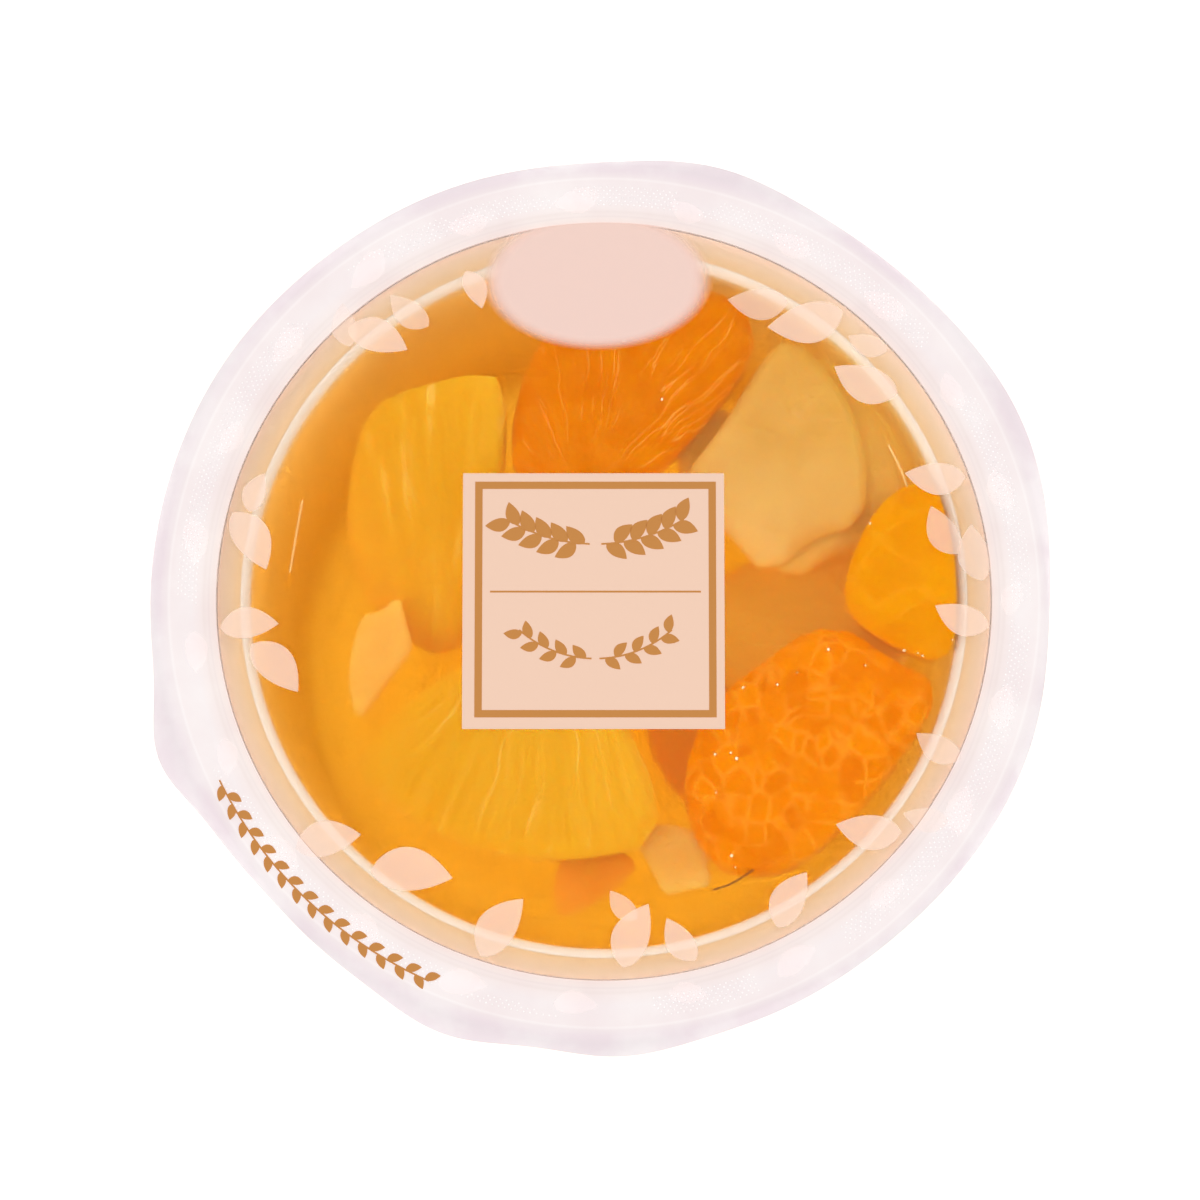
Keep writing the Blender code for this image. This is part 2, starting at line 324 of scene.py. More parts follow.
def outside_profile():
    floor_end = WALL_FOOT_RADIUS - FLOOR_CORNER
    outer_corner = FLOOR_CORNER + WALL
    flange_bottom = RIM - WALL
    points = bend((FLANGE_RADIUS - LIP_ROUND, RIM - LIP_ROUND), LIP_ROUND, 90, 0)
    points += bend((FLANGE_RADIUS - WALL / 2, RIM - LIP + WALL / 2), WALL / 2, 0, -180)
    points.append((FLANGE_RADIUS - WALL, flange_bottom))
    points.append((MOUTH_RADIUS + WALL, flange_bottom))
    points.append((MOUTH_RADIUS + WALL, LEDGE + LEDGE_CORNER[1]))
    points.append((MOUTH_RADIUS, LEDGE - WALL))
    points.append((WALL_TOP_RADIUS + LEDGE_BEND + BEND_OUTSET, LEDGE - WALL))
    points.append((WALL_TOP_RADIUS + WALL, LEDGE - LEDGE_BEND - BEND_DROP))
    points += bend((floor_end, FLOOR_HEIGHT + FLOOR_CORNER), outer_corner, -DRAFT_DEGREES, -FOOT_DEGREES)
    foot_outer = floor_end + outer_corner * math.cos(math.radians(FOOT_DEGREES)) - FOOT_STEP
    points.append((foot_outer, 0))
    points.append((PUSH_UP_RADIUS + PUSH_UP_SLOPE - FOOT_INSET, 0))
    points.append((PUSH_UP_RADIUS - FOOT_INSET, PUSH_UP))
    points.append((0, PUSH_UP))
    return points

# %% [markdown]
# Clear polypropylene is not quite as clear as glass: it bends light like other plastics, with an index of
# about 1.49, and its slightly milky body scatters part of the light. In front of the jelly that light is
# golden, because it has been through the jelly first, so the wall's colour is painted golden from the foot
# up to the ledge: painted light that stands for it. The floor and foot are thicker and are moulded with a
# grain, so they are hazier than the wall.
# Light has to reach the jelly, so a shadow ray passes the wall as if it weren't there, which a path
# tracer would otherwise take very long to find.

# %% Clear plastic
def pass_shadows(finish, tint):
    """Lets shadow rays through a clear material, slightly tinted."""
    tree = finish.node_tree
    shader = tree.nodes["Principled BSDF"]
    shadow = add(tree, "ShaderNodeLightPath").outputs["Is Shadow Ray"]
    clear = add(tree, "ShaderNodeBsdfTransparent", {"Color": srgb(tint)})
    mix = add(tree, "ShaderNodeMixShader", {0: shadow, 1: shader, 2: clear})
    fill(tree, tree.nodes["Material Output"], {"Surface": mix})


FOOT_HAZE_BELOW = 4.0 * MM
FOOT_HAZE_ABOVE = 9.0 * MM
PLASTIC_HEX = "#FBF9F6"
PAINTED_JELLY_LIGHT_HEX = "#F8DA9E"
PAINTED_JELLY_LIGHT_FADE = 3.0 * MM
WALL_CLEARNESS = 0.62
FOOT_ROUGHNESS = 0.7
WALL_ROUGHNESS = 0.12


def object_height(tree):
    place = add(tree, "ShaderNodeTexCoord").outputs["Object"]
    return add(tree, "ShaderNodeSeparateXYZ", {0: place}).outputs[2]


def by_height(tree, low, high, low_value, high_value):
    """A number that runs from one value to another between two heights."""
    return add(tree, "ShaderNodeMapRange", {"Value": object_height(tree), "From Min": low, "From Max": high,
                                            "To Min": low_value, "To Max": high_value})


def clear_plastic():
    finish, tree, shader = new_material("clear moulded polypropylene, painted jelly light", IOR=1.49,
                                        Transmission_Weight=WALL_CLEARNESS)
    above_foot = by_height(tree, FOOT_HAZE_BELOW, FOOT_HAZE_ABOVE, 0.0, 1.0)
    # Golden from the foot to the ledge: painted light of the jelly seen through the milky wall.
    below_ledge = by_height(tree, LEDGE - PAINTED_JELLY_LIGHT_FADE, LEDGE - WALL, 1.0, 0.0)
    painted_jelly_light = add(tree, "ShaderNodeMath", {0: above_foot, 1: below_ledge}, operation="MINIMUM")
    colour = add(tree, "ShaderNodeMix", {"Factor": painted_jelly_light, 6: srgb(PLASTIC_HEX), 7: srgb(PAINTED_JELLY_LIGHT_HEX)},
                 data_type="RGBA")
    rough = by_height(tree, FOOT_HAZE_BELOW, FOOT_HAZE_ABOVE, FOOT_ROUGHNESS, WALL_ROUGHNESS)
    fill(tree, shader, {"Base Color": colour.outputs[2], "Roughness": rough})
    pass_shadows(finish, "#F6F3F0")
    return finish


PLASTIC = clear_plastic()
cup = turned("clear_cup", inside_profile() + outside_profile(), PLASTIC)
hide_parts("cup")
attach(cup, "root")
print("cup faces", len(cup.data.polygons))

# %% [markdown]
# Where the ledge turns down into the wall the plastic is thick and its corner scatters light, so from
# above it shows as a whitish ring all round the jelly. That bright ring is painted: it is made as its own
# thin bead that follows the inside of that bend, in an opaque frosted version of the plastic whose whitish
# colour is a painted highlight.

# %% The bead at the ledge
BEAD_PROUD = 0.12 * MM
BEAD_DEEP = 0.4 * MM
BEAD_BOTTOM_DEGREES = 152
BEAD_TOP_DEGREES = 86


def ledge_bead():
    centre = (WALL_TOP_RADIUS + LEDGE_BEND, LEDGE - LEDGE_BEND)
    outer = bend(centre, LEDGE_BEND + BEAD_PROUD, BEAD_BOTTOM_DEGREES, BEAD_TOP_DEGREES)
    inner = bend(centre, LEDGE_BEND - BEAD_DEEP, BEAD_TOP_DEGREES, BEAD_BOTTOM_DEGREES)
    # The bead's whitish colour is a painted highlight.
    finish = new_material("frosted bend, painted highlight", Roughness=0.45, IOR=1.49,
                          Base_Color=srgb("#ECE4E6"))[0]
    bead = turned("ledge_bead", outer + inner, finish, closed=True)
    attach(bead, "root")


ledge_bead()

# %% [markdown]
# Over the flat of the ledge the jelly is thin, and the light that comes through it from the side shows as
# a peach band, warmer next to the bead. That glow is painted: it is a thin ring laid on the ledge, and its
# colour runs with the distance from the axis.

# %% The ledge's painted glow
LINING = 0.1 * MM
# Painted glow of the light through the thin jelly over the ledge, warmer by the bead.
PAINTED_LEDGE_GLOW_COLOURS = ((0.0, "#E8C6A2"), (1.0, "#ECD9D0"))


def across_radius(tree, inner, outer):
    """A factor that runs from 0 to 1 between two distances from the cup's axis."""
    place = add(tree, "ShaderNodeTexCoord").outputs["Object"]
    parts = add(tree, "ShaderNodeSeparateXYZ", {0: place})
    flat = add(tree, "ShaderNodeCombineXYZ", {0: parts.outputs[0], 1: parts.outputs[1]})
    radius = add(tree, "ShaderNodeVectorMath", {0: flat}, operation="LENGTH").outputs["Value"]
    return add(tree, "ShaderNodeMapRange", {"Value": radius, "From Min": inner, "From Max": outer})


def ledge_lining():
    inner = WALL_TOP_RADIUS + LEDGE_BEND
    low = LEDGE + LINING
    inset = 0.7 * LINING
    profile = [(inner, low), (MOUTH_RADIUS - LEDGE_CORNER[0], low + LEDGE_CORNER[1]),
               (MOUTH_RADIUS - MOUTH_CORNER[0] - LINING, low + MOUTH_CORNER[1]),
               (MOUTH_RADIUS - LINING / 2, RIM - LINING)]
    inside = [(radius - inset, height + inset) for radius, height in reversed(profile)]
    finish, tree, shader = new_material("painted glow over the ledge", Roughness=0.5, Alpha=0.95)
    share = across_radius(tree, inner, MOUTH_RADIUS)
    fill(tree, shader, {"Base Color": add(tree, "ShaderNodeValToRGB", {"Fac": share}, PAINTED_LEDGE_GLOW_COLOURS)})
    lining = turned("ledge_grain", profile + inside, finish, closed=True)
    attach(lining, "root")


ledge_lining()

# %% [markdown]
# The jelly is clear and coloured all through, so its colour deepens with the length of jelly that light
# has crossed: pale over the ledge, golden over the fruit near the film and deep orange in between. A
# volume that absorbs more blue than green and more green than red does exactly that. Its outside reaches
# just into the cup's wall, because a gap there would show as a silvery layer of air. Real jelly is a
# little cloudy and scatters some of the light that comes in through the wall, and a faint glow on its
# side stands for that.

# %% The jelly
INTO_WALL = 0.25 * MM
JELLY_TOP = RIM + 0.02 * MM
JELLY_TOP_HAZE = 0.28
JELLY_SIDE_HAZE = 0.2
JELLY_FLOOR_HAZE = 0.7
JELLY_TOP_LAYER = 1.0 * MM
WALL_GLOW = 0.14
WALL_GLOW_FROM = 25.0 * MM
WALL_GLOW_FADE = 5.0 * MM
WALL_GLOW_HEX = "#FFDFB4"
ABSORBED_HEX = "#F8E65E"
ABSORPTION = 70.0


def jelly_material():
    finish, tree, shader = new_material("clear orange gold fruit jelly", IOR=1.36, Transmission_Weight=1.0,
                                        Base_Color=srgb("#FFFFFF"), Specular_Tint=srgb("#505050"),
                                        Emission_Color=srgb(WALL_GLOW_HEX))
    upper = by_height(tree, RIM - JELLY_TOP_LAYER, RIM, JELLY_SIDE_HAZE, JELLY_TOP_HAZE)
    lower = by_height(tree, FOOT_HAZE_BELOW, FOOT_HAZE_ABOVE, JELLY_FLOOR_HAZE, 0.0)
    haze = add(tree, "ShaderNodeMath", {0: upper, 1: lower}, operation="MAXIMUM")
    rising = by_height(tree, FOOT_HAZE_ABOVE, WALL_GLOW_FROM, 0.0, WALL_GLOW)
    sinking = by_height(tree, RIM - WALL_GLOW_FADE, RIM - JELLY_TOP_LAYER, WALL_GLOW, 0.0)
    glow = add(tree, "ShaderNodeMath", {0: rising, 1: sinking}, operation="MINIMUM")
    fill(tree, shader, {"Roughness": haze, "Emission Strength": glow})
    pass_shadows(finish, "#FFFFFF")
    volume = add(tree, "ShaderNodeVolumeAbsorption", {"Color": srgb(ABSORBED_HEX), "Density": ABSORPTION})
    fill(tree, tree.nodes["Material Output"], {"Volume": volume})
    return finish


def make_jelly():
    profile = inside_profile(INTO_WALL)
    profile[-1] = (profile[-1][0], JELLY_TOP)
    jelly = turned("soft_jelly", profile + [(0, JELLY_TOP)], jelly_material())
    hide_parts("jelly")
    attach(jelly, "root")


make_jelly()

# %% [markdown]
# The fruit keeps the form of the solids. Each solid is a coarse cage of flat faces, so a copy of it is
# merged, remeshed in small even voxels and smoothed, which rounds the cage's edges as cooked fruit is
# rounded. Fine relief comes after that, by Geometry Nodes.

# %% A soft copy of a solid
MERGE = 0.001 * MM
VOXEL = 0.4 * MM
SMOOTH_PASSES = 10
SWELL = 0.15 * MM
FRUIT_TOP = JELLY_TOP - 0.1 * MM


def evaluated_copy(obj):
    """Turns what the object's modifiers make into its own plain mesh."""
    graph = bpy.context.evaluated_depsgraph_get()
    graph.update()
    mesh = bpy.data.meshes.new_from_object(obj.evaluated_get(graph))
    obj.modifiers.clear()
    obj.data = mesh
    return obj


def soft_copy(node, name):
    bm = bmesh.new()
    bm.from_mesh(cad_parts[node].data)
    bmesh.ops.remove_doubles(bm, verts=bm.verts, dist=MERGE)
    piece = mesh_object(name, bm)
    remesh = piece.modifiers.new("even faces", "REMESH")
    remesh.mode = "VOXEL"
    remesh.voxel_size = VOXEL
    swell = piece.modifiers.new("make up for the smoothing", "DISPLACE")
    swell.strength = SWELL
    swell.mid_level = 0.0
    smooth = piece.modifiers.new("rounded edges", "SMOOTH")
    smooth.factor = 0.5
    smooth.iterations = SMOOTH_PASSES
    evaluated_copy(piece)
    piece.data.materials.clear()
    return piece

# %% [markdown]
# A Geometry Nodes tree is a recipe with named inputs. This helper starts one, with a socket for each
# input, and the next one runs it: it sets each modifier input by its socket's identifier, evaluates the
# object once, keeps the result as a plain mesh and removes the modifier.

# %% Geometry Nodes helpers
SOCKETS = {float: "NodeSocketFloat", int: "NodeSocketInt", Vector: "NodeSocketVector",
           bpy.types.Material: "NodeSocketMaterial", bpy.types.Object: "NodeSocketObject"}


def new_tree(name, **inputs):
    """A geometry tree with the named inputs; returns it with its input and output nodes."""
    tree = bpy.data.node_groups.new(name, "GeometryNodeTree")
    tree.interface.new_socket("Geometry", in_out="INPUT", socket_type="NodeSocketGeometry")
    for label, kind in inputs.items():
        tree.interface.new_socket(label.replace("_", " "), in_out="INPUT", socket_type=SOCKETS[kind])
    tree.interface.new_socket("Geometry", in_out="OUTPUT", socket_type="NodeSocketGeometry")
    return tree, add(tree, "NodeGroupInput").outputs, add(tree, "NodeGroupOutput")


def finish_tree(tree, output, geometry, finish):
    """Ends a tree: instances become real faces, and every face gets its material."""
    real = add(tree, "GeometryNodeRealizeInstances", {"Geometry": geometry})
    dressed = add(tree, "GeometryNodeSetMaterial", {"Geometry": real, "Material": finish})
    fill(tree, output, {"Geometry": dressed})


def run_tree(obj, tree, **values):
    modifier = obj.modifiers.new(tree.name, "NODES")
    modifier.node_group = tree
    names = {name.replace("_", " "): value for name, value in values.items()}
    for item in tree.interface.items_tree:
        if item.in_out == "INPUT" and item.name in names:
            modifier[item.identifier] = names[item.name]
    return evaluated_copy(obj)


def pressed_flat(piece):
    """The film lies on the fruit, so nothing of it stands out of the jelly's top."""
    for vert in piece.data.vertices:
        vert.co.z = min(vert.co.z, FRUIT_TOP)

# %% [markdown]
# The jelly is a little cloudy, so a piece of fruit is clear where it touches the film and takes on the
# jelly's own glow as it goes down. A path tracer could scatter light in the jelly for that, at a high
# cost. Here the fruit itself gives off a little of that glow: more with the depth below the film, and
# more where its side turns down into the jelly. Its lower edges then melt into the jelly, from wherever
# they are seen.

# %% Glow of the cloudy jelly
CLEAR_DEPTH = 1.0 * MM
LOST_DEPTH = 10.0 * MM
STEEP = 0.0
LEVEL = 0.85
GLOW = 0.22
GLOW_HEX = "#EEB454"
STEEP_CLOUD = 0.4


def wet_flesh(name, roughness, weight, radius):
    """Wet, translucent flesh: light comes out again up to a radius away, red furthest."""
    return new_material(name, Roughness=roughness, IOR=1.36, Specular_IOR_Level=0.04,
                        Subsurface_Weight=weight, Subsurface_Radius=radius, Subsurface_Scale=1.0)


def cloud_over(tree, shader, least=0.0):
    """Adds the jelly's glow to a piece of fruit, by depth and by how steep its surface is."""
    near = add(tree, "ShaderNodeMapRange",
               {"Value": object_height(tree), "From Min": RIM - LOST_DEPTH, "From Max": RIM - CLEAR_DEPTH,
                "To Min": 0.0, "To Max": 1.0 - least}, interpolation_type="SMOOTHSTEP")
    normal = add(tree, "ShaderNodeNewGeometry").outputs["Normal"]
    upright = add(tree, "ShaderNodeSeparateXYZ", {0: normal}).outputs[2]
    level = add(tree, "ShaderNodeMath", {0: upright}, operation="ABSOLUTE")
    flat = add(tree, "ShaderNodeMapRange", {"Value": level, "From Min": STEEP, "From Max": LEVEL,
                                            "To Min": 1.0 - STEEP_CLOUD}, interpolation_type="SMOOTHSTEP")
    clear = add(tree, "ShaderNodeMath", {0: near, 1: flat}, operation="MULTIPLY")
    cloudy = add(tree, "ShaderNodeMath", {0: 1.0, 1: clear}, operation="SUBTRACT")
    strength = add(tree, "ShaderNodeMath", {0: cloudy, 1: GLOW}, operation="MULTIPLY")
    fill(tree, shader, {"Emission Color": srgb(GLOW_HEX), "Emission Strength": strength})

# %% [markdown]
# A mandarin segment is a bag of juice sacs, each a few millimetres across. Where its skin is peeled off
# they show as low pebbles, and Voronoi cells have that look once noise has pushed their coordinates
# about. The relief tree lifts the middle of each cell along the surface's normal, and the colour below
# uses the same cells, so that the pale walls between the sacs lie in the grooves.

# %% Juice sacs as relief
WARP_SIZE = 5.0 * MM
WARP = 2.2 * MM
SPOKE_RADIUS = 25 * MM
SPOKE_STRETCH = 10
SPOKE_DEPTH = 3
SAC_LEVEL = 0.45


def warped(tree, place):
    """A place pushed about by noise, so that a pattern read there wanders."""
    noise = add(tree, "ShaderNodeTexNoise", {"Vector": place, "Scale": 1 / WARP_SIZE, "Detail": 2.0})
    centred = add(tree, "ShaderNodeVectorMath", {0: noise.outputs["Color"], 1: (0.5, 0.5, 0.5)},
                  operation="SUBTRACT")
    push = add(tree, "ShaderNodeVectorMath", {0: centred, "Scale": WARP}, operation="SCALE")
    return add(tree, "ShaderNodeVectorMath", {0: place, 1: push}, operation="ADD")


def spoke_place(tree, place, centre, spacing):
    """A place as (heading, distance, height) round a centre, for grain that runs like spokes."""
    local = add(tree, "ShaderNodeVectorMath", {0: place, 1: centre}, operation="SUBTRACT")
    parts = add(tree, "ShaderNodeSeparateXYZ", {0: local})
    heading = add(tree, "ShaderNodeMath", {0: parts.outputs[1], 1: parts.outputs[0]}, operation="ARCTAN2")
    length = add(tree, "ShaderNodeVectorMath", {0: local}, operation="LENGTH")
    turns = add(tree, "ShaderNodeMath", {0: heading, 1: SPOKE_RADIUS / spacing}, operation="MULTIPLY")
    out = add(tree, "ShaderNodeMath", {0: length.outputs["Value"], 1: 1 / (SPOKE_STRETCH * spacing)},
              operation="MULTIPLY")
    down = add(tree, "ShaderNodeMath", {0: parts.outputs[2], 1: 1 / (SPOKE_DEPTH * spacing)},
               operation="MULTIPLY")
    return add(tree, "ShaderNodeCombineXYZ", {0: turns, 1: out, 2: down})


def sac_tree():
    tree, given, output = new_tree("juice sacs", Sac_size=float, Relief=float, Stretch=Vector,
                                   Finish=bpy.types.Material)
    place = warped(tree, add(tree, "GeometryNodeInputPosition"))
    normal = add(tree, "GeometryNodeInputNormal")
    stretched = add(tree, "ShaderNodeVectorMath", {0: place, 1: given["Stretch"]}, operation="MULTIPLY")
    scale = add(tree, "ShaderNodeMath", {0: 1.0, 1: given["Sac size"]}, operation="DIVIDE")
    cells = add(tree, "ShaderNodeTexVoronoi", {"Vector": stretched, "Scale": scale}, feature="SMOOTH_F1")
    domed = add(tree, "ShaderNodeMath", {0: SAC_LEVEL, 1: cells.outputs["Distance"]}, operation="SUBTRACT")
    lift = add(tree, "ShaderNodeMath", {0: domed, 1: given["Relief"]}, operation="MULTIPLY")
    offset = add(tree, "ShaderNodeVectorMath", {0: normal, "Scale": lift}, operation="SCALE")
    moved = add(tree, "GeometryNodeSetPosition", {"Geometry": given["Geometry"], "Offset": offset})
    finish_tree(tree, output, moved, given["Finish"])
    return tree


SAC_TREE = sac_tree()

# %% [markdown]
# The flesh differs from segment to segment. One is peeled bare and shows its sacs, and another still has
# its skin with thin pale veins that spread from its root. A vein is drawn where a noise, stretched along
# spokes from that root, passes through one of a few set values: such lines wander and branch, but never
# end abruptly.

# %% Mandarin flesh
VEIN_LEVELS = 7.0
FLESH_CLOUD = 4 * MM
BROKEN_FROM = 0.38
BROKEN_TO = 0.55


def wall_lines(tree, stretched, look):
    """1 on the walls between the sacs, falling to 0 inside them."""
    edges = add(tree, "ShaderNodeTexVoronoi", {"Vector": stretched, "Scale": 1 / look["cell"]},
                feature="DISTANCE_TO_EDGE")
    return add(tree, "ShaderNodeMapRange", {"Value": edges.outputs["Distance"], "From Max": look["line"],
                                            "To Min": 1.0, "To Max": 0.0})


def vein_lines(tree, place, look):
    """1 on thin veins that spread like spokes from a root: where a noise passes through certain values."""
    spokes = spoke_place(tree, warped(tree, place), look["root"], look["cell"])
    noise = add(tree, "ShaderNodeTexNoise", {"Vector": spokes, "Scale": 1.0, "Detail": 1.5})
    levels = add(tree, "ShaderNodeMath", {0: noise, 1: VEIN_LEVELS}, operation="MULTIPLY")
    part = add(tree, "ShaderNodeMath", {0: levels}, operation="FRACT")
    from_middle = add(tree, "ShaderNodeMath", {0: part, 1: 0.5}, operation="SUBTRACT")
    away = add(tree, "ShaderNodeMath", {0: from_middle}, operation="ABSOLUTE")
    return add(tree, "ShaderNodeMapRange", {"Value": away, "From Max": look["line"],
                                            "To Min": 1.0, "To Max": 0.0})


def mandarin_material(name, look):
    """Citrus flesh: each sac has its own orange, under paler walls or veins."""
    finish, tree, shader = wet_flesh(name, 0.35, 0.4, (4 * MM, 1.6 * MM, 0.4 * MM))
    place = add(tree, "ShaderNodeTexCoord").outputs["Object"]
    stretched = add(tree, "ShaderNodeVectorMath", {0: warped(tree, place), 1: look["stretch"]},
                    operation="MULTIPLY")
    sacs = add(tree, "ShaderNodeTexVoronoi", {"Vector": stretched, "Scale": 1 / look["cell"]}, feature="F1")
    own = add(tree, "ShaderNodeSeparateXYZ", {0: sacs.outputs["Color"]})
    cloud = add(tree, "ShaderNodeTexNoise", {"Vector": place, "Scale": 1 / FLESH_CLOUD, "Detail": 4.0})
    share = add(tree, "ShaderNodeMix", {"Factor": look["patchy"], 2: cloud, 3: own})
    body = add(tree, "ShaderNodeValToRGB", {"Fac": share}, ((0.3, look["deep"]), (0.7, look["flesh"])))
    lines = vein_lines(tree, place, look) if "root" in look else wall_lines(tree, stretched, look)
    broken = add(tree, "ShaderNodeMapRange", {"Value": cloud, "From Min": BROKEN_FROM, "From Max": BROKEN_TO,
                                              "To Max": look["strength"]})
    seen = add(tree, "ShaderNodeMath", {0: lines, 1: broken}, operation="MULTIPLY")
    colour = add(tree, "ShaderNodeMix", {"Factor": seen, 6: body, 7: srgb(look["pale"])}, data_type="RGBA")
    fill(tree, shader, {"Base Color": colour.outputs[2]})
    cloud_over(tree, shader)
    return finish

# %% [markdown]
# The three segments are told apart by one table. The bottom one is peeled to its sacs, the top one keeps
# its veined skin, and the right one is smooth, with larger sacs and a yellower colour.

# %% The three mandarin segments
MANDARIN_LOOKS = {
    "mandarin_bottom": {
        "cell": 2.4 * MM, "stretch": (1.0, 0.8, 1.0), "relief": 0.5 * MM, "line": 0.14, "strength": 0.5,
        "patchy": 0.4, "deep": "#DC7A00", "flesh": "#E68A00", "pale": "#F2A22C"},
    "mandarin_top": {
        "cell": 2.4 * MM, "stretch": (0.8, 0.8, 1.0), "relief": 0.12 * MM, "line": 0.07, "strength": 0.8,
        "patchy": 0.15, "deep": "#D27200", "flesh": "#DC8200", "pale": "#F4AA50",
        "root": (-3.0 * MM, 12.0 * MM, 0.0)},
    "mandarin_right": {
        "cell": 4.0 * MM, "stretch": (0.8, 0.8, 0.8), "relief": 0.12 * MM, "line": 0.06, "strength": 0.35,
        "patchy": 0.3, "deep": "#DC8C00", "flesh": "#E29A00", "pale": "#EFAA20"},
}


def make_mandarins():
    pieces = {}
    for node, look in MANDARIN_LOOKS.items():
        finish = mandarin_material(f"peeled mandarin flesh {node}", look)
        piece = soft_copy(node, f"{node}_segment")
        run_tree(piece, SAC_TREE, Sac_size=look["cell"], Relief=look["relief"], Stretch=look["stretch"],
                 Finish=finish)
        pressed_flat(piece)
        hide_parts(node)
        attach(piece, "root")
        pieces[node] = piece
        print(node, len(piece.data.polygons), "faces")
    return pieces


MANDARINS = make_mandarins()

# %% [markdown]
# Pineapple is cut across its core, so fibres run from the core out to the edge like spokes. The relief
# tree turns each point's place into a heading round the slice's centre and a distance from it, and reads
# a noise that changes quickly with the heading and slowly with the distance: grooves that run along the
# spokes.

# %% Pineapple chunks
FIBRE_SPACING = 0.9 * MM
FIBRE_RELIEF = 0.1 * MM
CHUNK_CORES = {"pineapple_bottom": Vector((-5.1 * MM, 1.4 * MM, 0)),
               "pineapple_left": Vector((-19.0 * MM, -26.0 * MM, 0))}


def fibre_noise(tree, place, centre):
    """A noise whose ridges run like spokes from the centre."""
    spokes = spoke_place(tree, warped(tree, place), centre, FIBRE_SPACING)
    return add(tree, "ShaderNodeTexNoise", {"Vector": spokes, "Scale": 1.0, "Detail": 2.0})


def fibre_tree():
    tree, given, output = new_tree("pineapple fibres", Centre=Vector, Relief=float,
                                   Finish=bpy.types.Material)
    place = add(tree, "GeometryNodeInputPosition")
    normal = add(tree, "GeometryNodeInputNormal")
    grooves = fibre_noise(tree, place, given["Centre"])
    centred = add(tree, "ShaderNodeMath", {0: grooves, 1: 0.5}, operation="SUBTRACT")
    lift = add(tree, "ShaderNodeMath", {0: centred, 1: given["Relief"]}, operation="MULTIPLY")
    offset = add(tree, "ShaderNodeVectorMath", {0: normal, "Scale": lift}, operation="SCALE")
    moved = add(tree, "GeometryNodeSetPosition", {"Geometry": given["Geometry"], "Offset": offset})
    finish_tree(tree, output, moved, given["Finish"])
    return tree


FIBRE_TREE = fibre_tree()

# %% [markdown]
# The flesh is coloured by the noise that lifts it, so that its ridges are paler than the grooves between
# them.

# %% Pineapple flesh
FIBRE_COLOURS = ((0.3, "#DDA41E"), (0.5, "#DFA824"), (0.64, "#E1AC2C"), (0.74, "#E8BC58"))


def pineapple_material(name, centre):
    finish, tree, shader = wet_flesh(name, 0.4, 0.6, (8 * MM, 4.5 * MM, 1.2 * MM))
    grooves = fibre_noise(tree, add(tree, "ShaderNodeTexCoord").outputs["Object"], centre)
    fill(tree, shader, {"Base Color": add(tree, "ShaderNodeValToRGB", {"Fac": grooves}, FIBRE_COLOURS)})
    cloud_over(tree, shader)
    return finish


def make_pineapple():
    for node, centre in CHUNK_CORES.items():
        piece = soft_copy(node, f"{node}_chunk")
        finish = pineapple_material(f"cut pineapple flesh {node}", centre)
        run_tree(piece, FIBRE_TREE, Centre=centre, Relief=FIBRE_RELIEF, Finish=finish)
        pressed_flat(piece)
        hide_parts(node)
        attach(piece, "root")


make_pineapple()

# %% [markdown]
# A poached pear slice is smooth and glassy. Its flesh has fine stone cells, which are only just seen as a
# soft mottling.

# %% The pear slice
MOTTLE_SIZE = 7 * MM


def pear_material(name, dark, light, least_cloud=0.0):
    finish, tree, shader = wet_flesh(name, 0.35, 0.65, (9 * MM, 5 * MM, 2 * MM))
    place = add(tree, "ShaderNodeTexCoord").outputs["Object"]
    cloud = add(tree, "ShaderNodeTexNoise", {"Vector": place, "Scale": 1 / MOTTLE_SIZE, "Detail": 4.0})
    colour = add(tree, "ShaderNodeValToRGB", {"Fac": cloud}, ((0.35, dark), (0.65, light)))
    fill(tree, shader, {"Base Color": colour})
    cloud_over(tree, shader, least_cloud)
    return finish


def make_pear():
    piece = soft_copy("pear_right", "pear_right_slice")
    piece.data.materials.append(pear_material("poached pear flesh", "#D6A656", "#DCB062"))
    piece.data.shade_smooth()
    pressed_flat(piece)
    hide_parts("pear_right")
    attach(piece, "root")
    return piece


PEAR_SLICE = make_pear()

# %% [markdown]
# Below the fruit that touches the film more pieces float in the jelly, soft and dim. They have no solids,
# because they are wholly sunk. Fruit of one kind is cut alike, so each is a turned and moved copy of a
# piece that is already there, placed by where the photo shows it and by how blurred it is.

# %% Sunk fruit
SUNK_CLOUD = 0.4
WALL_CLEARANCE = 1.0 * MM
# The sunk pear is a paler copy of the pear's colours: painted light, for the light that the fruit above and
# the jelly keep from it.
SUNK_PEAR = pear_material("poached pear flesh sunk in jelly, painted paler", "#DEB068", "#E6BA74", SUNK_CLOUD)
SUNK_ORANGE = pear_material("mandarin flesh sunk in jelly", "#D88420", "#E09030", SUNK_CLOUD)


def kept_inside(mesh):
    """Draws in what would reach through the cup's wall; returns how far the furthest point stood out."""
    furthest = 0.0
    for vert in mesh.vertices:
        wall = WALL_FOOT_RADIUS + (WALL_TOP_RADIUS - WALL_FOOT_RADIUS) * vert.co.z / LEDGE - WALL_CLEARANCE
        reach = math.hypot(vert.co.x, vert.co.y)
        furthest = max(furthest, reach - wall)
        share = min(1.0, wall / reach)
        vert.co.x *= share
        vert.co.y *= share
    return furthest


